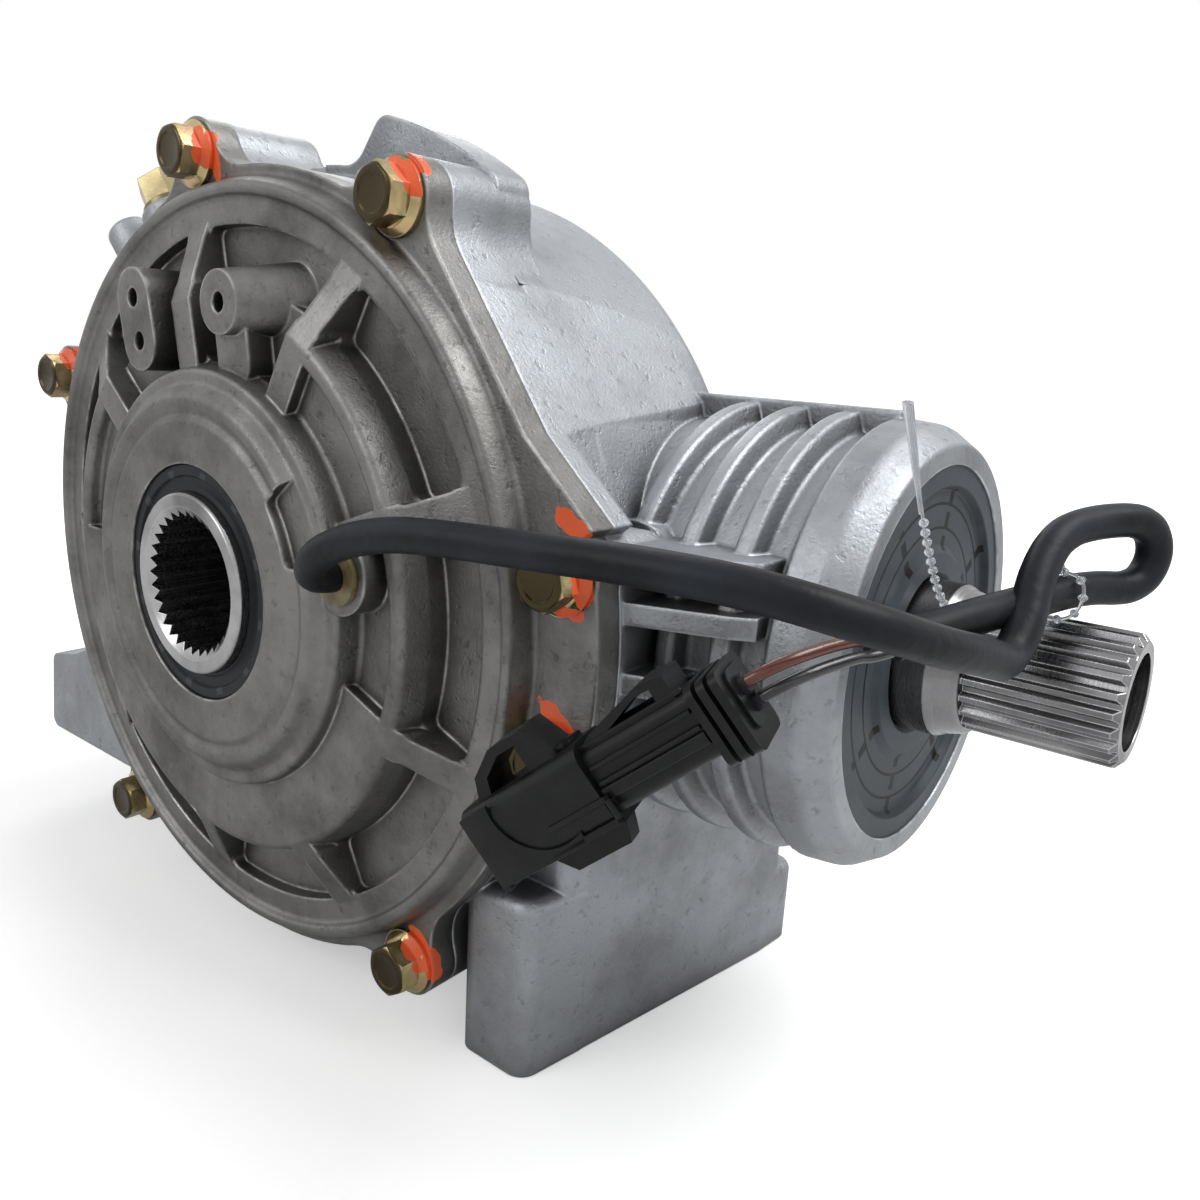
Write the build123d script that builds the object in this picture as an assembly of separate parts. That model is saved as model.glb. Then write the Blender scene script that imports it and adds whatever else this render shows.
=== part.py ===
"""Front differential of a small four-wheel-drive vehicle, an on-demand type with two roller clutches.

Millimetres. X is the axle axis and points away from the cover, -Y is the pinion axis, +Z is up.
The origin is where the axle axis and the pinion axis cross.
"""
import math
import os

from build123d import *

# Where things stand along the axle axis
seam_x = -54.3  # the cover's joint face on the case
cover_edge = 6.2  # thickness of the cover's lugs
flange_depth = 21.3  # depth of the case's lugs behind the joint face
parting_x = -42.0  # where the case steps out from its flange to its drum
drum_end_x = 4.0
boss_end_x = 76.6  # outer face of the far output boss
hub_meet_x = -22.0  # where the two output hubs meet

# Case and cover in the round
rim_r = 88.0
drum_r = 90.5
cavity_r = 82.0
boss_r = 35.0
bolt_circle_r = 92.9
lug_r = 7.9
lug_blend_r = 12.0
bolt_angles = [102, 59, 155, 10, -11, -55, -128]  # from the pinion side, turning up
wide_lug_r = 100.2
ear_r = 101.7
ear_depth = 9.0
ear_side = 55.0  # how far out towards the pinion the ear's upright side stands
facet_far = 88.6  # distance of the neck's flat from the axle at the joint face
facet_lean = 0.033  # how fast the flat leaves the axle along X
facet_angle = 36.87
facet_end = (80.9, 39.8)  # the flat's lower end on the joint face
band_corner = (97.5, 25.0)  # top corner of the wide lug's thin band
band_thick = 5.3

# Cover front, as radii and heights above the joint face
dome_high = 22.1
dome_groove_r = 36.8
dome_ridge_r = 40.4
dome_shelf_high = 19.4
dome_r = 45.8
dome_flat_angles = (15.0, 39.0)  # where the dome's ridge is interrupted
plateau_high = 16.5
plateau_r = 61.6
inner_pocket_high = 13.8
inner_pocket_to_r = 57.5
wide_plateau_r = 46.2  # the plateau reaches in this far on the cover's lower side
wide_plateau_angles = (-178.0, -23.0)
bay_high = 10.5  # floor of the bays round the two bosses
bay_ribs = [140, 100]
annulus_high = 9.5
pocket_high = 6.4
pocket_from_r = 63.6
pocket_to_r = 75.5
ridge_high = 11.0
ridge_r = 83.0
rib_width = 7.0
rib_angles = [100, 60, 20, -21, -62, -99, -140, -180, -220]
cover_floor = 1.6  # the cover's inner floor above the joint face
spigot_long = 6.0
spigot_wall = 6.0
seal_ring_wide = 2.4
seal_ring_deep = 2.0

# Bosses on the cover front
boss_face_high = 18.7
twin_hole_a = (-26.2, 59.8)
twin_hole_b = (-24.2, 50.5)
single_hole = (7.5, 59.5)
single_root = (17.5, 61.0)  # the round boss spreads towards here at its root
front_boss_r = 6.5
front_hole_r = 2.1
front_holes = [(*twin_hole_a, 12.0), (*twin_hole_b, 11.4), (*single_hole, 12.6)]  # with each depth
gland_at = (46.9, 10.1)
gland_boss_r = 8.0
gland_face_high = 19.7
gland_r = 4.8

# Output hubs, their seals and bushings
hub_r = 20.0
hub_out = 78.0
hub_spline_tip_r = 14.7
hub_spline_root_r = 16.2
hub_teeth = 32
hub_bore_deep = 44.0
race_r = 36.0
race_wall = 6.0
race_long = 25.0
hub_gap = 1.0
seal_r = 26.0
seal_thick = 7.5
seal_sunk = 0.5
bushing_r = 24.0
bushing_long = 13.0
fit = 0.05  # radial running clearance of a bushing on its shaft

# Bevel gears, straight teeth on cones whose points are at the origin
ring_teeth = 42
pinion_teeth = 11
ring_pitch_r = 74.0
face_width = 22.0
ring_addendum = 2.2
ring_dedendum = 3.8
pinion_addendum = 3.2
pinion_dedendum = 2.9
tooth_thick = 4.9
ring_back_x = -37.0
ring_rim_r = 76.0

# Roller clutch inside the ring gear
rollers = 12
roller_r = 3.8
roller_play = 0.25
roller_long = 20.5
barrel_r = 49.5
barrel_bore_r = 43.5
barrel_from_x = -50.0
barrel_to_x = 6.0
barrel_web = 5.0
spring_seat_r = 46.6
ramp_r = 7.3
cage_r = 42.6
cage_wall = 5.3
armature_thick = 2.0
armature_gap = 0.7
coil_deep = 11.2
coil_r = 46.3
coil_inner_r = 27.2
winding_r = 41.5
winding_inner_r = 32.0
ring_bushing_wall = 3.0
ring_bushing_long = 10.5
journal_r = 27.5
journal_long = 15.0

# Pinion, its bearing and its seal
nose_end_y = -135.5
nose_r = 45.1
nose_groove_r = 41.6
nose_rib_at = [-92.0, -103.3, -114.6]
nose_rib_wide = 4.4
nose_ring_y = -123.7
shaft_r = 15.0
bearing_r = 36.0
bearing_y = -82.8
bearing_long = 30.2
bearing_rollers = 12
bearing_roller_r = 4.4
bearing_pitch_r = 25.5
pinion_seal_r = 37.3
pinion_seal_deep = 11.0
snap_ring_thick = 2.0
collar_end_y = -140.5
spline_from_y = -146.0
spline_end_y = -173.1
spline_r = 12.2
spline_root_r = 11.1
spline_teeth = 22
end_bore_r = 9.0
end_bore_deep = 24.0
pinion_pocket_r = 25.0

# Cover bolts, M6 with a flange
bolt_r = 2.95
bolt_long = 25.0
bolt_flange_r = 7.1
bolt_hex = 10.0
bolt_head_high = 6.6
bolt_clear_r = 3.3
bolt_thread_r = 3.0

# Feet and the bosses on the drum
foot_bottom_z = -95.4
foot_low = 21.4  # height of the front foot's pad
foot_toe = 40.5  # height of its end at the joint face
foot_wall = 65.4  # height of the wall that ties it to the nose
rear_foot_bottom_z = -73.3
foot_hole_r = 4.25
foot_hole_deep = 20.0
plug_boss_r = 7.6
plug_boss_top_r = 98.0
plug_angle = 124.0
plug_x = -46.0
vent_boss_r = 6.0
vent_boss_top_r = 108.0
vent_angle = 134.6
vent_x = -46.0
vent_hole_r = 2.0
drain_angle = -100.0
drain_x = -20.0
drain_boss_top_r = 92.5
drain_seat_r = 87.5
plug_thread_r = 5.0

# Lead, its connector and its tie. The route runs from the grommet, past the pinion shaft and back
lead_d = 6.2
lead_route = [
    (-75.0, 46.9, 10.1), (-80.0, 46.9, 10.1), (-83.2, 51.5, 15.4), (-82.8, 59.8, 19.8), (-81.9, 70.5, 22.7),
    (-81.0, 82.5, 23.8), (-79.0, 100.3, 24.4), (-78.0, 120.4, 25.5), (-75.5, 138.5, 25.1), (-68.0, 151.2, 21.8),
    (-53.0, 156.9, 16.6), (-39.0, 158.6, 13.0), (-28.0, 158.0, 9.4), (-21.5, 158.4, 14.8), (-15.0, 157.0, 22.1),
    (-7.0, 157.5, 28.4), (2.5, 161.2, 30.2), (12.1, 167.4, 30.5), (15.2, 169.4, 24.0), (12.1, 167.4, 17.5),
    (1.5, 161.0, 18.4), (-16.0, 155.4, 16.9),
    (-34.0, 150.2, 15.5), (-44.0, 145.2, 13.3),
]  # X, distance out along the pinion, Z
grommet_flange_r = 5.9
wire_d = 2.0
wire_spread = 1.3
connector_end = (-79.4, -91.0, -29.0)
connector_towards = (-66.7, -131.2, 5.5)
connector_latch_side = (-0.2187, 0.5947, 0.7731)
plug_body_size = (10.4, 11.4)
plug_from = 12.0
plug_to = 50.0
shell_wall = 1.5
shell_from = 5.5
shell_long = 30.0
rear_lock_to = 57.0
tie_d = 1.3
tie_route = [
    (-47.0, -144.0, 49.5), (-32.0, -143.2, 31.0), (-18.5, -144.5, 14.5), (-7.5, -153.9, 13.3), (-7.0, -162.6, 13.5),
    (-5.5, -163.2, 21.7), (-5.0, -154.8, 21.5), (-7.9, -153.0, 17.8),
]


# What follows from the sizes above
lug_face_x = seam_x - cover_edge
lug_back_x = seam_x + flange_depth
left_bushing_x = seam_x - 14.0
pinion_angle = math.degrees(math.atan(pinion_teeth / ring_teeth))
ring_angle = 90 - pinion_angle
pinion_pitch_r = ring_pitch_r * pinion_teeth / ring_teeth
race_gap = roller_r + roller_play
roller_circle_r = race_r + race_gap
ramp_centre_r = roller_circle_r + race_gap - ramp_r


def square_to_axle(x):
    """A sketch plane across the axle at X = x, seen from the cover side, with its x along -Y."""
    return Plane(origin=(x, 0, 0), x_dir=(0, -1, 0), z_dir=(-1, 0, 0))


def square_to_pinion(y):
    """A sketch plane across the pinion at Y = y, seen from the shaft's end, with its x along +X."""
    return Plane(origin=(0, y, 0), x_dir=(1, 0, 0), z_dir=(0, -1, 0))


def slab(outline, x_low, x_high, taper=0):
    """An outline across the axle, pulled from X = x_high towards the cover side to X = x_low."""
    return extrude(square_to_axle(x_high) * outline, amount=x_high - x_low, taper=taper)


def disc(radius, x_low, x_high):
    return slab(Circle(radius), x_low, x_high)


def tube(outer, inner, x_low, x_high):
    return slab(Circle(outer) - Circle(inner), x_low, x_high)


def pinion_tube(outer, inner, y_low, y_high):
    ring = Circle(outer) - Circle(inner)
    return extrude(square_to_pinion(y_high) * ring, amount=y_high - y_low)


def pinion_disc(radius, y_low, y_high):
    return extrude(square_to_pinion(y_high) * Circle(radius), amount=y_high - y_low)


def turned(corners):
    """A solid turned on the axle axis. Each corner is (X, radius) or (X, radius, rounding)."""
    rounding = [corner[2] if len(corner) > 2 else 0 for corner in corners]
    outline = FilletPolyline(*[corner[:2] for corner in corners], radius=rounding, close=True)
    return revolve(make_face(outline), axis=Axis.X)


def turned_on_pinion(corners):
    """A solid turned on the pinion axis. Each corner is (Y, radius) or (Y, radius, rounding)."""
    return Rot(Z=90) * turned(corners)


def polar(radius, angle):
    """A point of a sketch across the axle. The angle starts at the pinion side and turns up."""
    return (radius * math.cos(math.radians(angle)), radius * math.sin(math.radians(angle)))


def sector(inner, outer, angle_from, angle_to):
    """A piece of a flat ring between two angles."""
    middle = (angle_from + angle_to) / 2
    start = Line(polar(inner, angle_from), polar(outer, angle_from))
    far_arc = ThreePointArc(polar(outer, angle_from), polar(outer, middle), polar(outer, angle_to))
    end = Line(polar(outer, angle_to), polar(inner, angle_to))
    near_arc = ThreePointArc(polar(inner, angle_to), polar(inner, middle), polar(inner, angle_from))
    return make_face([start, far_arc, end, near_arc])


def star(teeth, root, tip, tip_share=0.0):
    """A toothed outline. tip_share is how much of each pitch is flat at the tip and at the root."""
    pitch = 360 / teeth
    flat = pitch * tip_share / 2
    points = []
    for tooth in range(teeth):
        centre = tooth * pitch
        for radius, angle in ((tip, centre), (root, centre + pitch / 2)):
            if flat:
                points.append(polar(radius, angle - flat))
                points.append(polar(radius, angle + flat))
            else:
                points.append(polar(radius, angle))
    return make_face(Polyline(*points, close=True))


def bevel_tooth(pitch_angle, pitch_r, addendum, dedendum, axis):
    """One straight bevel tooth: its section at the large end, drawn down towards the origin."""
    reach = pitch_r / math.sin(math.radians(pitch_angle))
    small = (reach - face_width) / reach
    along = -math.cos(math.radians(pitch_angle))
    out = math.sin(math.radians(pitch_angle))
    sunk = 0.6
    lean = math.tan(math.radians(20))
    heights = (-dedendum - sunk, -dedendum / 3, addendum)
    half_widths = (
        tooth_thick / 2 + lean * (dedendum + sunk) * 0.75,
        tooth_thick / 2 + lean * dedendum / 3,
        tooth_thick / 2 - lean * addendum * 1.15,
    )
    section = []
    for height, half in zip(heights, half_widths):
        section.append((half, height))
    for height, half in zip(reversed(heights), reversed(half_widths)):
        section.append((-half, height))
    ends = []
    for scale in (1.0, small):
        points = []
        for side, height in section:
            position = (reach * along + height * out) * scale
            radius = (reach * out - height * along) * scale
            if axis == "X":
                points.append((position, -radius, side * scale))
            else:
                points.append((side * scale, position, radius))
        ends.append(make_face(Polyline(*points, close=True)))
    return loft(ends, ruled=True)


def flange_outline(corner):
    """The bolted rim: a circle with a lug at each bolt, a wide lug and a flat above it that ends at a corner."""
    outline = Circle(rim_r)
    outline += sector(rim_r - 10, wide_lug_r, -11, 10)
    for y, z in bolt_places():
        outline += Pos(y, z) * Circle(lug_r)
    outline += make_face(Polyline((52.0, 78.4), facet_end, corner, (80.0, 10.0), (30.0, 50.0), close=True))
    hollows = [v for v in outline.vertices() if abs(math.hypot(v.X, v.Y) - rim_r) < 0.01]
    hollows += [v for v in outline.vertices() if v.X < 60 and v.Y > 60 and abs(math.hypot(v.X, v.Y) - 92.8) < 0.6]
    return fillet(hollows, lug_blend_r)


def bolt_places(radius=bolt_circle_r):
    return [polar(radius, angle) for angle in bolt_angles]


def front_foot():
    """The cast foot under the pinion side, with a slanted outer face."""
    plan = make_face(
        FilletPolyline(
            (seam_x, -62.5), (seam_x, -81.4), (23.0, -93.5), (38.5, -94.6), (38.5, -62.5),
            radius=[4.0, 4.5, 8.0, 5.0, 5.0], close=True,
        )
    )
    toe = make_face(
        FilletPolyline((seam_x, -62.5), (seam_x, -81.4), (-38.0, -84.1), (-38.0, -62.5), radius=[4.0, 4.5, 0, 0],
                       close=True)
    )
    wall = make_face(
        FilletPolyline((-45.0, -58.0), (-45.0, -82.85), (23.0, -93.5), (31.5, -94.1), (31.5, -58.0),
                       radius=[0, 3.0, 8.0, 4.0, 0], close=True)
    )
    foot = fillet(extrude(plan, amount=foot_low).faces().sort_by(Axis.Z)[-1].edges(), 2.5)
    foot += fillet(extrude(toe, amount=foot_toe).faces().sort_by(Axis.Z)[-1].edges(), 2.5)
    return Pos(0, 0, foot_bottom_z) * (foot + extrude(wall, amount=foot_wall))


def rear_foot():
    """The cast foot on the far side, shorter and set higher than the front one."""
    outline = FilletPolyline(
        (-48.0, rear_foot_bottom_z), (-48.0, -40.0), (-84.0, -32.0), (-99.0, -42.5), (-109.0, -46.0),
        (-121.5, -48.5), (-125.0, rear_foot_bottom_z),
        radius=[3, 3, 6, 8, 4, 4, 3], close=True,
    )
    return slab(make_face(outline), seam_x, 14.0)


def flange_ear():
    """The raised ear on the back of the flange, upright on one side and stepped on the other."""
    block = make_face(Polyline((ear_side, 60.0), (ear_side, 110.0), (28.8, 110.0), (5.0, 80.5), close=True))
    ear = block & Circle(ear_r)
    corners = [v for v in ear.vertices() if abs(math.hypot(v.X, v.Y) - ear_r) < 0.01]
    ear = fillet(corners, 4.5) + Circle(drum_r)
    hollows = [v for v in ear.vertices() if abs(math.hypot(v.X, v.Y) - drum_r) < 0.01]
    ear = fillet(hollows, 7.0) - Circle(drum_r - 2.0)
    ear = ear & Pos(32.0, 88.0) * Rectangle(60.0, 44.0)
    return slab(ear, lug_back_x - ear_depth, lug_back_x)


def neck_facet():
    """What the flat between the drum and the neck takes away."""
    out = (0, -math.cos(math.radians(facet_angle)), math.sin(math.radians(facet_angle)))
    across = (0, -out[2], out[1])
    far_x = drum_end_x + 2.0
    far = facet_far + facet_lean * (far_x - seam_x)
    outline = make_face(
        Polyline((seam_x - 1, facet_far), (far_x, far), (far_x, far + 20.0), (seam_x - 1, far + 20.0), close=True)
    )
    return extrude(Plane(origin=(0, 0, 0), x_dir=(1, 0, 0), z_dir=across) * outline, amount=45.0, both=True)


def drum_boss(angle, x, radius, top_r):
    """A round boss that stands out of the drum towards a plug or fitting."""
    upright = Pos(x, 0, 75.0) * Cylinder(radius, top_r - 75.0, align=(Align.CENTER, Align.CENTER, Align.MIN))
    return Rot(X=90 - angle) * upright


def gearcase_housing():
    """The main casting: flange, drum, closed end, nose for the pinion, and both feet."""
    body = turned([
        (seam_x, 0), (seam_x, rim_r - 1.5), (parting_x - 0.8, rim_r - 1.0),
        (parting_x + 0.8, drum_r, 1.0), (drum_end_x, drum_r, 5.0),
        (drum_end_x + 10.0, drum_r - 10.0, 8.0), (boss_end_x - 30.0, boss_r + 4.0, 12.0),
        (boss_end_x - 22.0, boss_r, 2.0), (boss_end_x, boss_r, 1.5), (boss_end_x, 0),
    ])
    neck = [(55.7, 71.3), (78.0, 50.0), (80.7, 41.0), (89.8, 20.0), (92.8, 0.0), (91.0, -20.0), (81.5, -42.8),
            (60.0, -60.0), (20.0, 0.0)]
    body += slab(make_face(Polyline(*neck, close=True)), seam_x, -2.0)
    body -= neck_facet()
    body += slab(flange_outline((89.0, 22.0)), seam_x, lug_back_x)
    body += slab(flange_outline(band_corner), seam_x, seam_x + band_thick)
    body += flange_ear()
    hollow = make_face(
        Polyline((seam_x + band_thick, 39.0), (seam_x + band_thick, 24.5), (seam_x + 15.0, 22.5), close=True)
    )
    hollow = extrude(Plane(origin=(0, -60.0, 0), x_dir=(1, 0, 0), z_dir=(0, -1, 0)) * hollow, amount=36.0)
    body -= hollow - disc(rim_r, seam_x, drum_end_x)
    body += nose_blank()
    body += front_foot()
    body += rear_foot()
    for angle in (20, 65, 110, 155, -70, -115, -160):
        stiffener = [(drum_end_x, 60.0), (drum_end_x + 4.0, drum_r - 5.0), (boss_end_x - 14.0, boss_r - 1.0),
                     (boss_end_x - 40.0, boss_r - 2.0)]
        blade = extrude(make_face(Polyline(*stiffener, close=True)), amount=2.5, both=True)
        body += Rot(X=-angle - 90) * Rot(X=90) * blade
    body += drum_boss(plug_angle, plug_x, plug_boss_r, plug_boss_top_r)
    body += drum_boss(vent_angle, vent_x, vent_boss_r, vent_boss_top_r)
    body += drum_boss(drain_angle, drain_x, plug_boss_r + 2.0, drain_boss_top_r)

    # The gear cavity, the far bearings and the far seal
    inner_end = drum_end_x + 28.0
    body -= turned([
        (seam_x - 1, 0), (seam_x - 1, cavity_r), (drum_end_x - 4.0, cavity_r, 6.0), (inner_end, 47.0, 6.0),
        (inner_end, journal_r + 9.5), (barrel_to_x + 6.5, journal_r + 9.5),
        (barrel_to_x + 6.5, journal_r + ring_bushing_wall),
        (barrel_to_x + barrel_web + journal_long + 1.0, journal_r + ring_bushing_wall),
        (barrel_to_x + barrel_web + journal_long + 1.0, bushing_r),
        (boss_end_x - seal_sunk - seal_thick, bushing_r),
        (boss_end_x - seal_sunk - seal_thick, seal_r), (boss_end_x + 1, seal_r), (boss_end_x + 1, 0),
    ])

    # The pinion's bores, from the gear cavity out to the seal
    body -= pinion_disc(pinion_pocket_r, bearing_y - 0.5, -44.0)
    body -= pinion_disc(bearing_r - 4.0, bearing_y, -76.0)
    body -= pinion_disc(bearing_r, nose_end_y, bearing_y)
    body -= pinion_disc(pinion_seal_r, nose_end_y - 1, nose_end_y + pinion_seal_deep + 0.5)
    snap_y = bearing_y - bearing_long
    body -= pinion_disc(bearing_r + 2.0, snap_y - snap_ring_thick, snap_y)

    for y, z in bolt_places():
        hole = Pos(y, z) * Circle(bolt_thread_r)
        body -= slab(hole, seam_x - 1, lug_face_x + bolt_long + 0.7)
    for x, y, z in foot_holes():
        body -= Pos(x, y, z) * Cylinder(foot_hole_r, foot_hole_deep, align=(Align.CENTER, Align.CENTER, Align.MIN))
    body -= radial_hole(plug_angle, plug_x, plug_thread_r)
    body -= radial_hole(vent_angle, vent_x, vent_hole_r)
    body -= radial_hole(drain_angle, drain_x, plug_thread_r)
    seat = Pos(drain_x, 0, drain_seat_r) * Cylinder(plug_boss_r + 0.6, 20.0, align=(Align.CENTER, Align.CENTER, Align.MIN))
    body -= Rot(X=90 - drain_angle) * seat
    return body


def radial_hole(angle, x, radius):
    """A hole along a radius of the drum, through its wall."""
    upright = Pos(x, 0, 70.0) * Cylinder(radius, 50.0, align=(Align.CENTER, Align.CENTER, Align.MIN))
    return Rot(X=90 - angle) * upright


def foot_holes():
    """Threaded holes that open downwards, two in each foot."""
    return [
        (-36.0, -76.0, foot_bottom_z), (16.0, -76.0, foot_bottom_z),
        (-38.0, 112.0, rear_foot_bottom_z), (-2.0, 112.0, rear_foot_bottom_z),
    ]


def nose_blank():
    """The round nose with its cooling ribs, its top web and the webs that tie it to the wide lug."""
    corners = [(-36.0, 0), (-36.0, nose_groove_r)]
    for y in nose_rib_at:
        corners += [
            (y + nose_rib_wide / 2 + 0.8, nose_groove_r, 1.0), (y + nose_rib_wide / 2 - 0.6, nose_r + 0.6, 1.0),
            (y - nose_rib_wide / 2 + 0.6, nose_r + 0.6, 1.0), (y - nose_rib_wide / 2 - 0.8, nose_groove_r, 1.0),
        ]
    corners += [
        (nose_ring_y + 1.6, nose_groove_r, 1.0), (nose_ring_y, nose_r, 0.8), (nose_end_y + 5.0, nose_r - 0.6, 4.0),
        (nose_end_y, nose_r - 3.9, 0.6), (nose_end_y, 0),
    ]
    nose = turned_on_pinion(corners)
    nose += Pos(0, -99.5, 38.0) * Box(4.6, 50.0, 16.8)
    web = [(seam_x + 1.0, -93.0), (seam_x + 1.0, -100.0), (-47.0, -117.5), (-44.5, -121.5), (-36.0, -121.5),
           (-30.0, -88.0)]
    for z in (-5.0, 8.0, 17.5):
        nose += Pos(0, 0, z) * extrude(make_face(Polyline(*web, close=True)), amount=4.0)
    return nose


def cover_front():
    """The cover's corners from the seal bore outwards, as (X, radius, rounding)."""
    def up(high):
        return seam_x - high
    return [
        (up(dome_high), seal_r), (up(dome_high), dome_groove_r - 1.6, 1.2),
        (up(dome_high - 1.0), dome_groove_r, 1.0), (up(dome_high - 0.1), dome_groove_r + 1.8, 1.0),
        (up(dome_high - 0.1), dome_ridge_r, 1.4), (up(dome_shelf_high), dome_ridge_r + 2.4, 1.0),
        (up(dome_shelf_high - 0.2), dome_r, 0.8), (up(inner_pocket_high), dome_r + 1.3, 1.0),
        (up(inner_pocket_high), inner_pocket_to_r - 0.4, 0.8), (up(plateau_high), inner_pocket_to_r + 0.6, 1.0),
        (up(plateau_high), plateau_r, 1.6), (up(annulus_high), pocket_from_r, 1.6),
        (up(annulus_high), ridge_r - 2.0, 1.0), (up(ridge_high), ridge_r - 1.0, 0.8),
        (up(ridge_high), ridge_r + 1.0, 1.2), (up(cover_edge), ridge_r + 2.8, 1.0),
        (up(cover_edge), rim_r - 0.5), (seam_x, rim_r - 0.5),
    ]


def cover_rib(angle):
    """A rib from the dome across the middle ring, sloping down to the outer ring."""
    side = [(seam_x - plateau_high, dome_r), (seam_x - plateau_high, plateau_r - 1.0),
            (seam_x - annulus_high, pocket_to_r + 1.5), (seam_x - pocket_high + 1.0, pocket_to_r + 1.5),
            (seam_x - pocket_high + 1.0, pocket_from_r - 1.0), (seam_x - inner_pocket_high + 1.0, dome_r)]
    blade = extrude(make_face(Polyline(*side, close=True)), amount=rib_width / 2, both=True)
    return Rot(X=180 - angle) * blade


def cover_cell(inner, outer, start, stop):
    """The outline of a pocket between two ribs, its corners rounded."""
    cell = sector(inner, outer, stop, start)
    for angle in (start, stop):
        cell -= Rot(0, 0, angle) * Pos((inner + outer) / 2, 0) * Rectangle(outer - inner + 10.0, rib_width)
    return fillet(cell.vertices(), 2.0)


def front_bosses():
    """The oval boss with two holes and the round one with one, each on a wider root."""
    top_x = seam_x - boss_face_high
    root_x = seam_x - pocket_high + 1.0
    twin_middle = ((twin_hole_a[0] + twin_hole_b[0]) / 2, (twin_hole_a[1] + twin_hole_b[1]) / 2)
    bosses = slab(SlotCenterPoint(twin_middle, twin_hole_a, 2 * front_boss_r), top_x, root_x)
    bosses += slab(Pos(*single_hole) * Circle(front_boss_r), top_x, root_x)
    flank = [square_to_axle(top_x) * Pos(*single_hole) * Circle(front_boss_r),
             square_to_axle(root_x) * Pos(*single_root) * Circle(front_boss_r + 1.0)]
    bosses += loft(flank)
    neck_middle = (single_hole[0] + 0.8, single_hole[1] - 6.0)
    neck = SlotCenterPoint(neck_middle, single_hole, 2 * front_boss_r - 2.0) - Circle(dome_r + 0.9)
    bosses += slab(neck, seam_x - plateau_high, root_x)
    return bosses


def output_cover():
    """The cast cover: a stepped dome with a ring of ribbed pockets, bolted on through seven lugs."""
    spigot_x = seam_x + spigot_long
    ring_x = seam_x + 2.0
    wall_x = ring_back_x - 2.0
    bore_r = barrel_r + fit + ring_bushing_wall
    floor_x = seam_x - cover_floor
    coil_x = seam_x - 0.2 - coil_deep
    profile = cover_front() + [
        (seam_x, cavity_r - 0.1), (ring_x, cavity_r - 0.1), (ring_x, cavity_r - seal_ring_deep),
        (ring_x + seal_ring_wide, cavity_r - seal_ring_deep), (ring_x + seal_ring_wide, cavity_r - 0.1),
        (spigot_x, cavity_r - 0.1), (spigot_x, cavity_r - spigot_wall), (floor_x, cavity_r - spigot_wall - 1.5, 2.0),
        (floor_x, bore_r + 8.5, 2.0), (wall_x, bore_r + 7.0), (wall_x, bore_r),
        (seam_x, bore_r), (seam_x, coil_r), (coil_x, coil_r), (coil_x, coil_inner_r),
        (seam_x - 0.8, coil_inner_r), (seam_x - 0.8, bushing_r), (left_bushing_x, bushing_r),
        (left_bushing_x, seal_r),
    ]
    body = turned(profile)
    body += slab(flange_outline(band_corner) - Circle(cavity_r + 1), lug_face_x, seam_x)

    body += slab(sector(wide_plateau_r, inner_pocket_to_r + 1.0, *wide_plateau_angles), seam_x - plateau_high,
                 seam_x - inner_pocket_high + 1.0)
    flat = fillet(sector(dome_groove_r - 2.2, dome_r + 1.0, *dome_flat_angles).vertices(), 2.0)
    body -= slab(flat, seam_x - dome_high - 1, seam_x - dome_shelf_high - 0.15)
    for angle in rib_angles:
        body += cover_rib(angle)
    for place, start in enumerate(rib_angles):
        stop = rib_angles[place + 1] if place + 1 < len(rib_angles) else rib_angles[0] - 360
        if start % 360 in bay_ribs:
            bay = cover_cell(dome_r + 1.5, pocket_from_r + 0.6, start, stop)
            body -= slab(bay, seam_x - plateau_high - 1, seam_x - bay_high)
        cell = cover_cell(pocket_from_r, pocket_to_r, start, stop)
        body -= extrude(square_to_axle(seam_x - pocket_high) * cell, amount=plateau_high - pocket_high + 1, taper=-4)
    body += front_bosses()
    gland = Pos(*gland_at) * Circle(gland_boss_r)
    body += slab(gland, seam_x - gland_face_high, seam_x - coil_deep - 1.2)

    for y, z, deep in front_holes:
        hole = Pos(y, z) * Circle(front_hole_r)
        body -= slab(hole, seam_x - boss_face_high - 1, seam_x - boss_face_high + deep)
    body -= slab(Pos(*gland_at) * Circle(gland_r), seam_x - gland_face_high - 3, seam_x - plateau_high + 4.0)
    body -= slab(Pos(*gland_at) * Circle(grommet_flange_r + 0.4), seam_x - dome_high - 1, seam_x - gland_face_high)
    body -= slab(Pos(*gland_at) * Circle(lead_d / 2 - 0.5), seam_x - gland_face_high, seam_x - 6.0)
    for y, z in bolt_places():
        body -= slab(Pos(y, z) * Circle(bolt_clear_r), lug_face_x - 1, seam_x + 1)
        body -= slab(Pos(y, z) * Circle(bolt_flange_r + 0.5), lug_face_x - 8, lug_face_x)
    return body


def cover_bolts():
    """Seven M6 flange bolts, one group."""
    bolts = []
    for y, z in bolt_places():
        at = Pos(y, z)
        shank = slab(at * Circle(bolt_r), lug_face_x, lug_face_x + bolt_long)
        washer = slab(at * Circle(bolt_flange_r), lug_face_x - 1.6, lug_face_x)
        head = slab(at * RegularPolygon(bolt_hex / 2, 6, major_radius=False), lug_face_x - bolt_head_high,
                    lug_face_x - 1.6)
        bolts.append(shank + washer + head)
    return Compound(children=bolts)


def cover_seal_ring():
    ring_x = seam_x + 2.0
    return tube(cavity_r - 0.02, cavity_r - seal_ring_deep + 0.02, ring_x + 0.1, ring_x + seal_ring_wide - 0.1)


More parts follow.
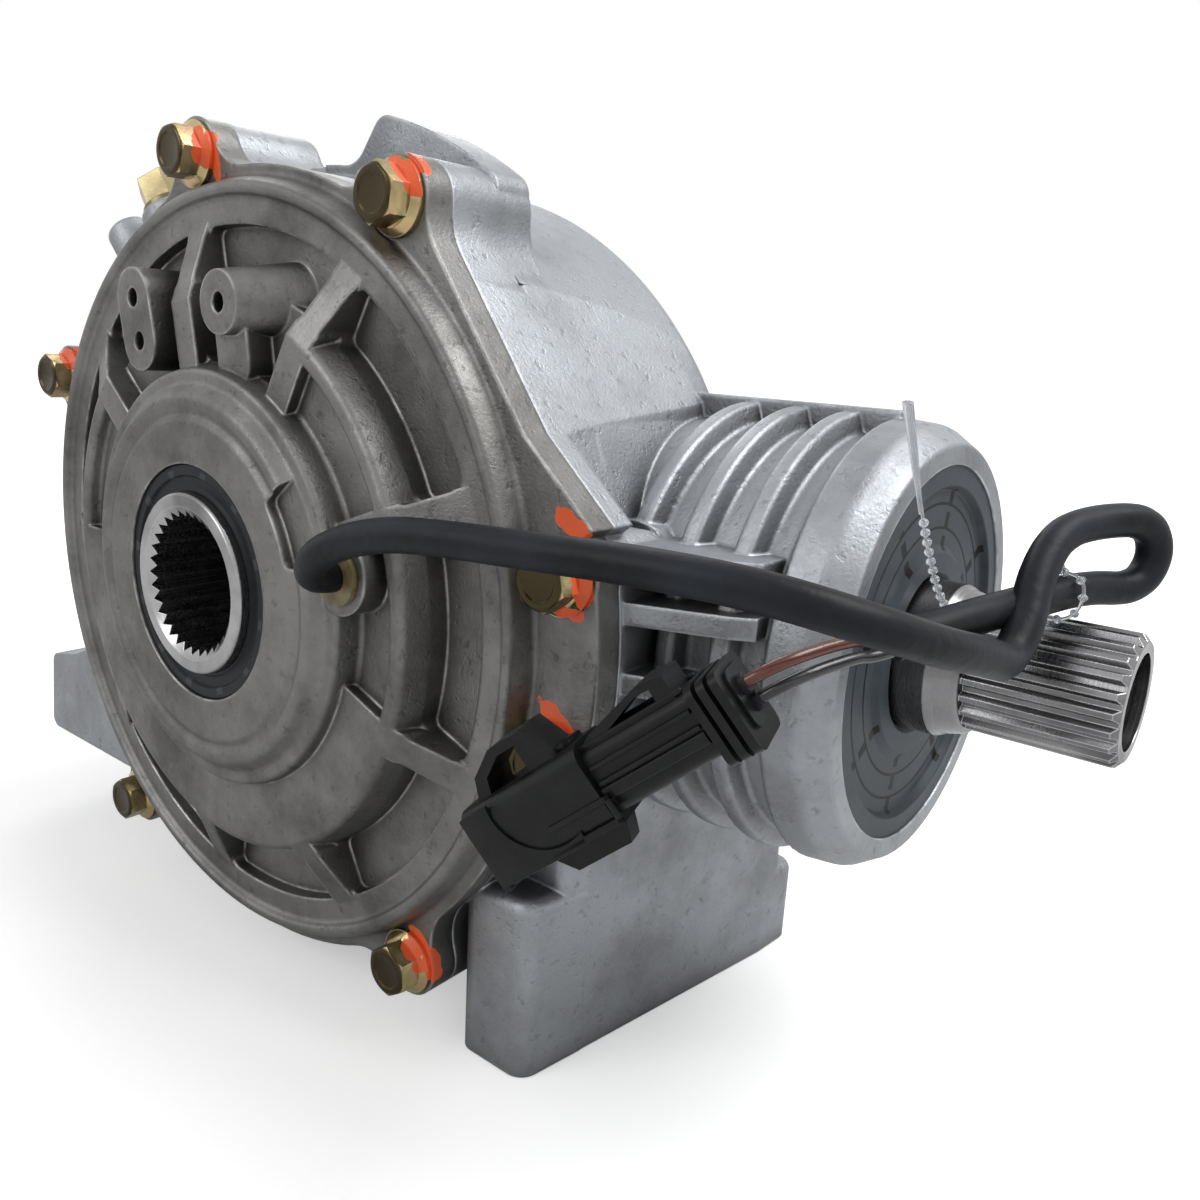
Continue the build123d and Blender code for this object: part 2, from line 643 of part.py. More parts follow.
def output_hub(side):
    """A splined hub with a roller race at its inner end. side is -1 at the cover and 1 on the far side."""
    inner = -hub_gap
    race_out = inner - race_long
    end = -hub_out - hub_meet_x if side < 0 else -hub_out + hub_meet_x
    reach = [
        (inner, 0), (inner, hub_r), (race_out + race_wall, hub_r, 1.5), (race_out + race_wall, race_r - race_wall, 1.5),
        (inner, race_r - race_wall), (inner, race_r), (race_out, race_r, 0.8), (race_out, hub_r, 1.0),
        (end, hub_r, 0.8), (end, 0),
    ]
    hub = turned(reach)
    bore = star(hub_teeth, hub_spline_tip_r, hub_spline_root_r)
    hub -= slab(bore, end - 1, end + hub_bore_deep)
    hub -= turned([(end - 0.1, 0), (end - 0.1, hub_spline_root_r + 0.9), (end + 1.8, hub_spline_tip_r - 0.6),
                   (end + 1.8, 0)])
    if side > 0:
        hub = Rot(Z=180) * hub
    return Pos(hub_meet_x, 0, 0) * hub


def output_seal(side):
    """A rubber lip seal pressed into the bore round an output hub."""
    face = -boss_end_x + seal_sunk if side > 0 else seam_x - dome_high + seal_sunk
    lip_r = hub_r + 0.1
    seal = turned([
        (face, seal_r - 0.02, 0.5), (face, seal_r - 2.4, 0.4), (face + 0.7, seal_r - 2.9, 0.3), (face + 0.7, lip_r + 1.0, 0.4),
        (face + 0.2, lip_r + 0.4, 0.2), (face + 0.2, lip_r), (face + seal_thick - 1.0, lip_r),
        (face + seal_thick - 1.0, seal_r - 2.5), (face + seal_thick, seal_r - 2.2), (face + seal_thick, seal_r - 0.02),
    ])
    return Rot(Z=180) * seal if side > 0 else seal


def output_bushing(side):
    if side < 0:
        return tube(bushing_r - 0.01, hub_r + fit, left_bushing_x + 0.2, left_bushing_x + bushing_long)
    high = boss_end_x - seal_sunk - seal_thick - 0.2
    return tube(bushing_r - 0.01, hub_r + fit, high - bushing_long, high)


def ring_bushing(side):
    if side < 0:
        return tube(barrel_r + fit + ring_bushing_wall - 0.01, barrel_r + fit, barrel_from_x, barrel_from_x + ring_bushing_long)
    low = barrel_to_x + barrel_web + 1.8
    return tube(journal_r + ring_bushing_wall - 0.01, journal_r + fit, low, low + journal_long - 2.0)


def ring_gear():
    """The bevel ring gear, in one piece with the clutch barrel and its ramps."""
    reach = ring_pitch_r / math.sin(math.radians(ring_angle))
    small = (reach - face_width) / reach
    along = -math.cos(math.radians(ring_angle))
    out = math.sin(math.radians(ring_angle))
    root_x = reach * along - ring_dedendum * out
    root_r = reach * out + ring_dedendum * along
    beyond = 1.008  # the root cone runs a little past both ends of the teeth
    before = small * 0.985
    web_end = barrel_to_x + barrel_web
    body = turned([
        (barrel_from_x, barrel_bore_r - 2), (barrel_from_x, barrel_r), (ring_back_x, barrel_r),
        (ring_back_x, ring_rim_r, 1.0), (root_x - 3.5, ring_rim_r, 1.0), (root_x * beyond, root_r * beyond),
        (root_x * before, root_r * before), (root_x * before + 1.5, barrel_r), (web_end, barrel_r, 2.0),
        (web_end, journal_r, 1.0), (web_end + journal_long, journal_r), (web_end + journal_long, hub_r + 0.5),
        (barrel_to_x, hub_r + 0.5), (barrel_to_x, barrel_bore_r - 2),
    ])
    bore = Circle(barrel_bore_r)
    for place in range(rollers):
        bore += Rot(0, 0, place * 360 / rollers) * Pos(ramp_centre_r, 0) * Circle(ramp_r)
    body -= slab(bore, barrel_from_x - 1, barrel_to_x)
    body -= disc(spring_seat_r, barrel_from_x - 1, barrel_from_x + 1.8)
    tooth = bevel_tooth(ring_angle, ring_pitch_r, ring_addendum, ring_dedendum, "X")
    teeth = [Rot(X=(place + 0.5) * 360 / ring_teeth) * tooth for place in range(ring_teeth)]
    return body.fuse(*teeth)


def centring_spring():
    """An open wire ring that pulls the roller cage back to the middle of the ramps."""
    wire = Circle(spring_seat_r - 0.3) - Circle(spring_seat_r - 2.2) - sector(spring_seat_r - 3, spring_seat_r, 80, 100)
    wire += sector(cage_r - 1.6, spring_seat_r - 1.5, 101, 103)
    wire += sector(cage_r - 1.6, spring_seat_r - 1.5, 77, 79)
    return slab(wire, barrel_from_x + 0.2, barrel_from_x + 1.5)


def roll_cage():
    """The cage that spaces both rows of rollers, with tabs that reach into the armature plate."""
    low = barrel_from_x + 1.8
    body = tube(cage_r, cage_r - cage_wall, low, barrel_to_x - 1.0)
    body += slab(Circle(cage_r) - Circle(cage_r - cage_wall), barrel_from_x - 0.6, low)
    tab_low = seam_x + armature_gap
    for angle in (45, 135, 225, 315):
        tab = sector(cage_r - cage_wall + 0.5, cage_r - 0.5, angle - 5, angle + 5)
        body += slab(tab, tab_low, low)
    for angle in (102, 78):
        body -= slab(sector(cage_r - 2.4, cage_r + 1, angle - 5, angle + 5), barrel_from_x - 1, barrel_from_x + 1.8)
    for middle in roller_rows():
        for place in range(rollers):
            window = Rot(X=-place * 360 / rollers) * Pos(middle, -roller_circle_r, 0)
            body -= window * Box(roller_long + 0.5, 2 * cage_wall, 2 * roller_r + 0.4)
    return body


def roller_rows():
    """Where the two rows of rollers have their middles."""
    race_middle = hub_gap + race_long / 2
    return (hub_meet_x - race_middle, hub_meet_x + race_middle)


def clutch_rollers(row):
    """One row of steel rollers between a hub's race and the ring gear's ramps."""
    middle = roller_rows()[row]
    rolls = []
    for place in range(rollers):
        at = Rot(0, 0, place * 360 / rollers) * Pos(roller_circle_r, 0)
        rolls.append(slab(at * Circle(roller_r), middle - roller_long / 2, middle + roller_long / 2))
    return Compound(children=rolls)


def armature_plate():
    """The steel plate that the coil pulls, held by the cage's tabs."""
    low = seam_x + armature_gap
    plate = Circle(cage_r + 0.4) - Circle(coil_inner_r - 3.0)
    for angle in (45, 135, 225, 315):
        plate -= sector(cage_r - cage_wall, cage_r + 2, angle - 5.6, angle + 5.6)
    return slab(plate, low, low + armature_thick)


def coil_body():
    """The steel pot of the electromagnet, set into the cover."""
    high = seam_x
    low = seam_x - 0.2 - coil_deep
    pot = tube(coil_r, coil_inner_r, low, high)
    return pot - tube(winding_r, winding_inner_r, low + 2.0, high + 1)


def coil_winding():
    low = seam_x - 0.2 - coil_deep
    return tube(winding_r, winding_inner_r, low + 2.0, seam_x - 0.6)


def hub_thrust_washer():
    return tube(race_r - race_wall - 0.5, 10.0, hub_meet_x - hub_gap + 0.1, hub_meet_x + hub_gap - 0.2)


def pinion_shaft():
    """The pinion and its shaft in one piece, from the bevel teeth to the splined end."""
    reach = pinion_pitch_r / math.sin(math.radians(pinion_angle))
    small = (reach - face_width) / reach
    along = -math.cos(math.radians(pinion_angle))
    out = math.sin(math.radians(pinion_angle))
    root_y = reach * along - pinion_dedendum * out
    root_r = reach * out + pinion_dedendum * along
    clip_y = bearing_y - bearing_long
    profile = [
        (root_y * small, 0), (root_y * small, root_r * small), (root_y, root_r), (root_y - 2.0, shaft_r + 3.4, 1.0),
        (bearing_y, shaft_r + 3.4), (bearing_y, shaft_r), (clip_y, shaft_r), (clip_y, shaft_r - 1.0),
        (clip_y - 1.8, shaft_r - 1.0), (clip_y - 1.8, shaft_r), (collar_end_y, shaft_r, 0.8),
        (collar_end_y - 1.6, shaft_r - 0.8, 0.6), (spline_from_y, spline_r + 0.9, 1.0), (spline_from_y - 0.6, spline_r - 2.2),
        (spline_end_y, spline_r - 2.2), (spline_end_y, end_bore_r), (spline_end_y + end_bore_deep, end_bore_r),
        (spline_end_y + end_bore_deep + 4.0, 0),
    ]
    shaft = turned_on_pinion(profile)
    spline = extrude(
        square_to_pinion(spline_from_y) * (star(spline_teeth, spline_root_r, spline_r, 0.3) - Circle(spline_r - 2.4)),
        amount=spline_from_y - spline_end_y,
    )
    spline -= turned_on_pinion([(spline_end_y - 0.1, spline_r - 1.4), (spline_end_y - 0.1, spline_r + 2),
                                (spline_end_y + 3.0, spline_r + 2)])
    shaft += spline
    tooth = bevel_tooth(pinion_angle, pinion_pitch_r, pinion_addendum, pinion_dedendum, "Y")
    teeth = [Rot(Y=place * 360 / pinion_teeth - 90) * tooth for place in range(pinion_teeth)]
    return shaft.fuse(*teeth)


def pinion_bearing_outer_ring():
    low = bearing_y - bearing_long
    race = bearing_pitch_r + bearing_roller_r + roller_play
    ring = pinion_tube(bearing_r - 0.01, race - 1.6, low, bearing_y)
    return ring - pinion_disc(race, low + 3.0, bearing_y - 3.0)


def pinion_bearing_inner_ring():
    race = bearing_pitch_r - bearing_roller_r - roller_play
    return pinion_tube(race, shaft_r + 0.01, bearing_y - bearing_long, bearing_y)


def pinion_bearing_rollers():
    low = bearing_y - bearing_long + 3.3
    rolls = []
    for place in range(bearing_rollers):
        at = Rot(0, 0, place * 360 / bearing_rollers) * Pos(bearing_pitch_r, 0)
        roll = square_to_pinion(bearing_y - 3.3) * (at * Circle(bearing_roller_r))
        rolls.append(extrude(roll, amount=bearing_y - 3.3 - low))
    return Compound(children=rolls)


def pinion_bearing_cage():
    """A thin ring with a pocket for each roller of the pinion bearing."""
    low = bearing_y - bearing_long + 1.2
    ring = pinion_tube(bearing_pitch_r + 1.4, bearing_pitch_r - 1.4, low, bearing_y - 1.2)
    for place in range(bearing_rollers):
        turn = Rot(Y=place * 360 / bearing_rollers) * Pos(bearing_pitch_r, bearing_y - bearing_long / 2, 0)
        ring -= turn * Box(6.0, bearing_long - 6.0, 2 * bearing_roller_r + 0.3)
    return ring


def pinion_snap_ring():
    """The open ring that holds the bearing in the nose."""
    high = bearing_y - bearing_long
    ring = Circle(bearing_r + 1.9) - Circle(bearing_r - 3.0) - sector(bearing_r - 5, bearing_r + 3, -8, 8)
    return extrude(square_to_pinion(high - 0.05) * ring, amount=snap_ring_thick - 0.1)


def pinion_circlip():
    high = bearing_y - bearing_long
    ring = Circle(shaft_r + 2.5) - Circle(shaft_r - 0.95) - sector(shaft_r - 3, shaft_r + 4, 80, 100)
    return extrude(square_to_pinion(high - 0.05) * ring, amount=1.6)


def pinion_seal():
    """The large seal round the pinion shaft, with stepped rings on its face."""
    face = nose_end_y + 0.4
    back = nose_end_y + pinion_seal_deep
    lip_r = shaft_r + 0.1
    return turned_on_pinion([
        (face, pinion_seal_r - 0.02), (face, pinion_seal_r - 4.0, 0.5), (face + 1.6, pinion_seal_r - 5.0, 0.5),
        (face + 1.6, lip_r + 6.5, 0.5), (face + 0.6, lip_r + 5.0, 0.5), (face + 0.6, lip_r + 1.2, 0.5), (face + 1.6, lip_r),
        (face + 6.0, lip_r), (face + 6.0, pinion_seal_r - 4.0), (back, pinion_seal_r - 3.0), (back, pinion_seal_r - 0.02),
    ])


def hex_plug(angle, x, seat_r, thread_long, head_high, across):
    """A screwed plug on a radius of the drum: thread, collar and six-sided head."""
    base = (Align.CENTER, Align.CENTER, Align.MIN)
    plug = Pos(x, 0, seat_r - thread_long) * Cylinder(plug_thread_r - 0.02, thread_long, align=base)
    plug += Pos(x, 0, seat_r) * Cylinder(across / 2 + 1.2, 1.8, align=base)
    head = extrude(RegularPolygon(across / 2, 6, major_radius=False), amount=head_high)
    plug += Pos(x, 0, seat_r + 1.8) * head
    return Rot(X=90 - angle) * plug


def fill_plug():
    return hex_plug(plug_angle, plug_x, plug_boss_top_r, 12.0, 7.5, 11.0)


def drain_plug():
    return hex_plug(drain_angle, drain_x, drain_seat_r, 6.0, 4.5, 12.0)


def bent_tube(points, diameter):
    """A round tube along straight runs, each corner rounded as far as its runs allow."""
    radii = []
    for before, corner, after in zip(points, points[1:], points[2:]):
        run_in = Vector(corner) - Vector(before)
        run_out = Vector(after) - Vector(corner)
        half_turn = math.radians(run_in.get_angle(run_out)) / 2
        radii.append(0.45 * min(run_in.length, run_out.length) / math.tan(half_turn))
    path = FilletPolyline(*points, radius=radii)
    tube_solid = sweep(Plane(origin=path @ 0, z_dir=path % 0) * Circle(diameter / 2), path=path)
    swept = math.pi * diameter ** 2 / 4 * path.length
    print("  radii", [round(radius, 1) for radius in radii])
    print(f"  length {path.length:.1f}, volume {tube_solid.volume:.1f} of {swept:.1f}")
    return tube_solid


def lead_points():
    return [(x, -y, z) for x, y, z in lead_route]


def lead_sleeve():
    """The lead's black sleeve, from the grommet round the pinion shaft and back to the wires."""
    return bent_tube(lead_points(), lead_d)


def lead_grommet():
    """The rubber grommet in the cover's boss, with a flange outside."""
    at = Pos(*gland_at)
    face = seam_x - gland_face_high
    stem = slab(at * Circle(gland_r - 0.02), face, seam_x - plateau_high + 3.9)
    flange = slab(at * Circle(grommet_flange_r), lead_route[0][0], face)
    return stem + flange


def connector_frame():
    """The connector's own plane: x along it towards the wires, z towards its latch."""
    along = Vector(connector_towards) - Vector(connector_end)
    return Plane(origin=connector_end, x_dir=along, z_dir=connector_latch_side)


def wire(side):
    """One wire from the sleeve's end to the back of the connector."""
    points = lead_points()
    end = Vector(points[-1])
    out = (end - Vector(points[-2])).normalized()
    aside = Vector(1, 0, 0).cross(out).normalized() * (side * wire_spread)
    plug = connector_frame()
    seat = plug.from_local_coords(Vector(rear_lock_to + 1.0, -0.8 * side, 1.7 * side))
    back = plug.x_dir * 5.0
    middle = (end + aside + seat) * 0.5 + Vector(3.0, -2.5, 2.5)
    route = [end + aside, end + aside + out * 4.5, middle, seat + back, seat]
    return bent_tube([tuple(point) for point in route], wire_d)


def boxed(plane, x_from, x_to, width, height, round_off=1.5, y=0.0, z=0.0):
    """A block along a plane's x with rounded long edges."""
    section = Plane(origin=plane.from_local_coords(Vector(x_from, y, z)), x_dir=plane.y_dir, z_dir=plane.x_dir)
    outline = Rectangle(width, height)
    if round_off:
        outline = fillet(outline.vertices(), round_off)
    return extrude(section * outline, amount=x_to - x_from)


def connector_plug():
    """The inner half of the connector, on the lead's side, with a lock tab near the wires."""
    at = connector_frame()
    width, height = plug_body_size
    body = boxed(at, plug_from, plug_to, width, height, 2.5)
    body += boxed(at, shell_long + 0.3, plug_to, width + 1.6, 2.2, 0.5, z=-height / 2 + 4.0)
    tab = make_face(Polyline((plug_to - 21.0, height / 2 - 0.5), (plug_to - 17.5, height / 2 + 1.5),
                             (plug_to - 6.0, height / 2 + 4.2), (plug_to - 1.5, height / 2 + 3.6),
                             (plug_to - 1.5, height / 2 - 0.5), close=True))
    tab -= make_face(Polyline((plug_to - 16.0, height / 2), (plug_to - 7.0, height / 2 + 2.9),
                              (plug_to - 4.5, height / 2 + 2.7), (plug_to - 4.5, height / 2), close=True))
    side_plane = Plane(origin=at.origin, x_dir=at.x_dir, z_dir=-at.y_dir)
    body += extrude(side_plane * tab, amount=4.0, both=True)
    return body


def connector_shell():
    """The outer half of the connector, over the plug's nose, with a latch bridge and a lower wing."""
    at = connector_frame()
    width, height = plug_body_size
    outer = boxed(at, shell_from, shell_long, width + 2 * shell_wall, height + 2 * shell_wall, 3.0)
    outer -= boxed(at, plug_from, shell_long + 1, width + 0.1, height + 0.1, 2.5)
    top = height / 2 + shell_wall
    bridge = make_face(Polyline((9.0, top - 0.5), (11.0, top + 3.6), (16.0, top + 6.4), (23.0, top + 6.4),
                                (26.0, top - 0.5), close=True))
    bridge -= make_face(Polyline((12.0, top), (13.0, top + 2.6), (17.0, top + 4.8), (20.5, top + 4.8),
                                 (20.5, top), close=True))
    wing = make_face(Polyline((12.5, -top + 1.0), (16.5, -top - 3.8), (27.5, -top - 3.8), (29.5, -top + 1.0),
                              close=True))
    side_plane = Plane(origin=at.origin, x_dir=at.x_dir, z_dir=-at.y_dir)
    outer += extrude(side_plane * bridge, amount=4.2, both=True)
    outer += extrude(side_plane * wing, amount=2.0, both=True)
    return outer


def connector_rear_lock():
    """The stepped retainer behind the plug that holds the wire seals."""
    at = connector_frame()
    width, height = plug_body_size
    body = boxed(at, plug_to, rear_lock_to, width - 1.6, height - 1.6, 2.0)
    for step in range(3):
        start = plug_to + 0.4 + step * 2.3
        body += boxed(at, start, start + 1.4, width + 1.8 + 0.7 * step, height + 2.2, 2.0, z=-0.8)
    return body


def connector_wire_seals():
    """A soft seal round each wire where it enters the connector."""
    at = connector_frame()
    seals = []
    for side in (-1, 1):
        seat = at.from_local_coords(Vector(rear_lock_to, -0.8 * side, 1.7 * side))
        seals.append(extrude(Plane(origin=seat, z_dir=at.x_dir) * Circle(1.6), amount=1.0))
    return Compound(children=seals)


def beaded_tie():
    """The tie's line round the lead, with its free end standing up. Its beads are left plain here."""
    return bent_tube(tie_route, tie_d)


PARTS = {
    "gearcase_housing": gearcase_housing,
    "output_cover": output_cover,
    "cover_bolts": cover_bolts,
    "cover_seal_ring": cover_seal_ring,
    "output_hub_left": lambda: output_hub(-1),
    "output_hub_right": lambda: output_hub(1),
    "output_seal_left": lambda: output_seal(-1),
    "output_seal_right": lambda: output_seal(1),
    "output_bushing_left": lambda: output_bushing(-1),
    "output_bushing_right": lambda: output_bushing(1),
    "ring_gear": ring_gear,
    "ring_bushing_left": lambda: ring_bushing(-1),
    "ring_bushing_right": lambda: ring_bushing(1),
    "centring_spring": centring_spring,
    "roll_cage": roll_cage,
    "clutch_rollers_left": lambda: clutch_rollers(0),
    "clutch_rollers_right": lambda: clutch_rollers(1),
    "armature_plate": armature_plate,
    "coil_body": coil_body,
    "coil_winding": coil_winding,
    "hub_thrust_washer": hub_thrust_washer,
    "pinion_shaft": pinion_shaft,
    "pinion_bearing_outer_ring": pinion_bearing_outer_ring,
    "pinion_bearing_inner_ring": pinion_bearing_inner_ring,
    "pinion_bearing_rollers": pinion_bearing_rollers,
    "pinion_bearing_cage": pinion_bearing_cage,
    "pinion_snap_ring": pinion_snap_ring,
    "pinion_circlip": pinion_circlip,
    "pinion_seal": pinion_seal,
    "fill_plug": fill_plug,
    "drain_plug": drain_plug,
    "lead_grommet": lead_grommet,
    "lead_sleeve": lead_sleeve,
    "wire_brown": lambda: wire(1),
    "wire_grey": lambda: wire(-1),
    "connector_plug": connector_plug,
    "connector_shell": connector_shell,
    "connector_rear_lock": connector_rear_lock,
    "connector_wire_seals": connector_wire_seals,
    "beaded_tie": beaded_tie,
}

os.makedirs("parts", exist_ok=True)
for name, make in PARTS.items():
    export_step(make(), f"parts/{name}.step")
    print("made", name)
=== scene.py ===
import math

import bpy
from mathutils import Matrix, Vector


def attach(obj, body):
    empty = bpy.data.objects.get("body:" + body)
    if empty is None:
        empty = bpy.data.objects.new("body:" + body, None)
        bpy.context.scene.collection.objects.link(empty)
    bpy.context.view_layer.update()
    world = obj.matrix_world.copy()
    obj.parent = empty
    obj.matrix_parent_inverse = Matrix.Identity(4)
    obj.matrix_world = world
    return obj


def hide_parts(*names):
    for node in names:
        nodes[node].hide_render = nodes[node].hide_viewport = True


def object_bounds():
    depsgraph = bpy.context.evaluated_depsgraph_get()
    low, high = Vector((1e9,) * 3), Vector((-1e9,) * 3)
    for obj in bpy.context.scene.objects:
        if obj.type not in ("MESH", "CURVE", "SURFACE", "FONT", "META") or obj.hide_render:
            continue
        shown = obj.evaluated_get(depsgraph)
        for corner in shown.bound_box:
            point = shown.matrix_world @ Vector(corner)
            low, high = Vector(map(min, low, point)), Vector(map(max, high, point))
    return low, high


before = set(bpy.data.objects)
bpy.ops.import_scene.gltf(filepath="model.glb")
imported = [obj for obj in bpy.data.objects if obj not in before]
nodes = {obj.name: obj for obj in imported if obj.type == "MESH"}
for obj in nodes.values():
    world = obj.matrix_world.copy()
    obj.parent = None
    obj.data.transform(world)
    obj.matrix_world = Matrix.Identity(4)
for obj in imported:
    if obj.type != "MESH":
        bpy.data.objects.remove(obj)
cad_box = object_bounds()

# The photographer's place, close in front of the cover and the pinion shaft, a little above both.
camera = bpy.data.objects.new("camera", bpy.data.cameras.new("camera"))
bpy.context.scene.collection.objects.link(camera)
camera.data.lens = 31.10
camera.data.sensor_width = 36
camera.data.clip_start = 0.01
camera.matrix_world = Matrix((
    (0.6234, 0.1548, -0.7664, -0.19482),
    (-0.7799, 0.1931, -0.5954, -0.20437),
    (0.0558, 0.9689, 0.2411, 0.05594),
    (0, 0, 0, 1),
))
bpy.context.scene.camera = camera
bpy.context.scene.view_settings.view_transform = "Standard"


# A pale floor under the feet and a white room round it, which polished metal shows too.
# Both look whiter to the camera than the light that they give, so that the metal keeps its shade.

def deselect():
    """Leaves nothing selected."""
    if bpy.context.object and bpy.context.object.mode != "OBJECT":
        bpy.ops.object.mode_set(mode="OBJECT")
    bpy.ops.object.select_all(action="DESELECT")


def add_node(tree, kind, **settings):
    """A shader node with its settings. Names of inputs set their values."""
    made = tree.nodes.new("ShaderNode" + kind)
    for name, value in settings.items():
        if name in made.inputs:
            made.inputs[name].default_value = value
        else:
            setattr(made, name, value)
    return made


def feed(tree, source, socket):
    """Gives a socket its source, which is another socket or a plain value."""
    if isinstance(source, bpy.types.NodeSocket):
        tree.links.new(source, socket)
    else:
        socket.default_value = source


def maths(tree, operation, first, second=0.0):
    """A sum of two values, each from a socket or plain."""
    step = add_node(tree, "Math", operation=operation)
    feed(tree, first, step.inputs[0])
    feed(tree, second, step.inputs[1])
    return step.outputs[0]


def spread(tree, source, low, high, to_low=0.0, to_high=1.0):
    """A value's stretch from low to high, laid over another stretch."""
    made = add_node(tree, "MapRange")
    for name, value in (("From Min", low), ("From Max", high), ("To Min", to_low), ("To Max", to_high)):
        made.inputs[name].default_value = value
    tree.links.new(source, made.inputs["Value"])
    return made.outputs["Result"]


def relief(tree, shader, height, strength, distance, under=None, sunk=False):
    """Fine relief on a surface, over a normal where one is given."""
    bump = add_node(tree, "Bump", Strength=strength, Distance=distance, invert=sunk)
    tree.links.new(height, bump.inputs["Height"])
    if under:
        tree.links.new(under, bump.inputs["Normal"])
    tree.links.new(bump.outputs["Normal"], shader.inputs["Normal"])


def new_material(name, base, metallic=0.0, roughness=0.5):
    """A material with one Principled shader, and that shader."""
    material = bpy.data.materials.new(name)
    material.use_nodes = True
    shader = material.node_tree.nodes["Principled BSDF"]
    shader.inputs["Base Color"].default_value = (*base, 1)
    shader.inputs["Metallic"].default_value = metallic
    shader.inputs["Roughness"].default_value = roughness
    return material, shader


deselect()
bpy.ops.mesh.primitive_plane_add(size=8, location=(0, 0, cad_box[0][2] - 0.0002))
floor = bpy.context.object
floor.name = "floor"

floor_paint, floor_shader = new_material("floor_paint", (0.88, 0.88, 0.88), 0.0, 0.9)
floor_tree = floor_paint.node_tree
paper = add_node(floor_tree, "TexNoise", Scale=300.0)
relief(floor_tree, floor_shader, paper.outputs["Fac"], 0.05, 0.0002)
floor_at = add_node(floor_tree, "TexCoord")
from_middle = add_node(floor_tree, "VectorMath", operation="LENGTH")
floor_tree.links.new(floor_at.outputs["Object"], from_middle.inputs[0])
whiter = spread(floor_tree, from_middle.outputs["Value"], 0.15, 0.9, 0.42, 0.85)
floor_ray = add_node(floor_tree, "LightPath")
glow = maths(floor_tree, "MULTIPLY", floor_ray.outputs["Is Camera Ray"], whiter)
floor_shader.inputs["Emission Color"].default_value = (1, 1, 1, 1)
floor_tree.links.new(glow, floor_shader.inputs["Emission Strength"])
floor.data.materials.append(floor_paint)

room = bpy.data.worlds.new("room")
bpy.context.scene.world = room
room.use_nodes = True
air = room.node_tree
air_ray = add_node(air, "LightPath")
seen = maths(air, "MAXIMUM", air_ray.outputs["Is Camera Ray"], air_ray.outputs["Is Glossy Ray"])
seen = maths(air, "MAXIMUM", seen, air_ray.outputs["Is Transmission Ray"])
air.links.new(spread(air, seen, 0.0, 1.0, 0.36, 1.0), air.nodes["Background"].inputs["Strength"])
air.nodes["Background"].inputs["Color"].default_value = (1, 1, 1, 1)


def soft_box(name, place, size, power):
    """A square studio lamp that faces the object."""
    lamp = bpy.data.objects.new(name, bpy.data.lights.new(name, "AREA"))
    bpy.context.scene.collection.objects.link(lamp)
    lamp.data.size = size
    lamp.data.energy = power
    lamp.location = place
    lamp.rotation_euler = (-Vector(place)).to_track_quat("-Z", "Y").to_euler()


soft_box("lamp_over", (0.25, -0.60, 0.95), 0.6, 9.5)
soft_box("lamp_left", (-0.9, 0.3, 0.6), 0.5, 3)
soft_box("lamp_back", (0.5, 0.7, 0.7), 0.5, 2.5)


# The lead: two wires in one black sleeve, out of the cover's grommet, across the case, round the pinion
# shaft and back under itself. It is soft, so it follows one smooth line through its route.
sleeve_thick = 0.0062
lead_route = [
    (-0.0750, -0.0469, 0.0101), (-0.0800, -0.0469, 0.0101), (-0.0832, -0.0515, 0.0154),
    (-0.0828, -0.0598, 0.0198), (-0.0819, -0.0705, 0.0227), (-0.0810, -0.0825, 0.0238),
    (-0.0790, -0.1003, 0.0244), (-0.0780, -0.1204, 0.0255), (-0.0755, -0.1385, 0.0251),
    (-0.0680, -0.1512, 0.0218), (-0.0530, -0.1569, 0.0166), (-0.0390, -0.1586, 0.0130),
    (-0.0280, -0.1580, 0.0094), (-0.0215, -0.1584, 0.0148), (-0.0150, -0.1570, 0.0221),
    (-0.0070, -0.1575, 0.0284), (0.0025, -0.1612, 0.0302), (0.0121, -0.1674, 0.0305),
    (0.0152, -0.1694, 0.0240), (0.0121, -0.1674, 0.0175), (0.0015, -0.1610, 0.0184),
    (-0.0160, -0.1554, 0.0169), (-0.0340, -0.1502, 0.0155), (-0.0440, -0.1452, 0.0133),
]


def laid_curve(name, route, thickness):
    """A smooth round cord through its route. With no thickness it is a bare line."""
    shape = bpy.data.curves.new(name, "CURVE")
    shape.dimensions = "3D"
    line = shape.splines.new("NURBS")
    line.points.add(len(route) - 1)
    for point, place in zip(line.points, route):
        point.co = (*place, 1)
        point.radius = thickness / 2
    line.order_u = 3
    line.use_endpoint_u = True
    line.resolution_u = 10
    shape.bevel_depth = 1 if thickness else 0
    shape.bevel_resolution = 6
    shape.use_fill_caps = True
    cord = bpy.data.objects.new(name, shape)
    bpy.context.scene.collection.objects.link(cord)
    return cord


sleeve = laid_curve("lead_sleeve_soft", lead_route, sleeve_thick)
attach(sleeve, "case")
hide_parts("lead_sleeve")


def noise(tree, at, scale, detail, **more):
    """Noise over a place, as a value."""
    texture = add_node(tree, "TexNoise", Scale=scale, Detail=detail, **more)
    tree.links.new(at, texture.inputs["Vector"])
    return texture.outputs["Fac"]


def tinted(tree, source, *stops):
    """A colour for a value: the colours at both ends, then those between."""
    ramp = add_node(tree, "ValToRGB")
    marks = ramp.color_ramp.elements
    for number, (place, colour) in enumerate(stops):
        mark = marks[number] if number < 2 else marks.new(place)
        mark.position = place
        mark.color = (*colour, 1)
    tree.links.new(source, ramp.inputs["Fac"])
    return ramp.outputs["Color"]


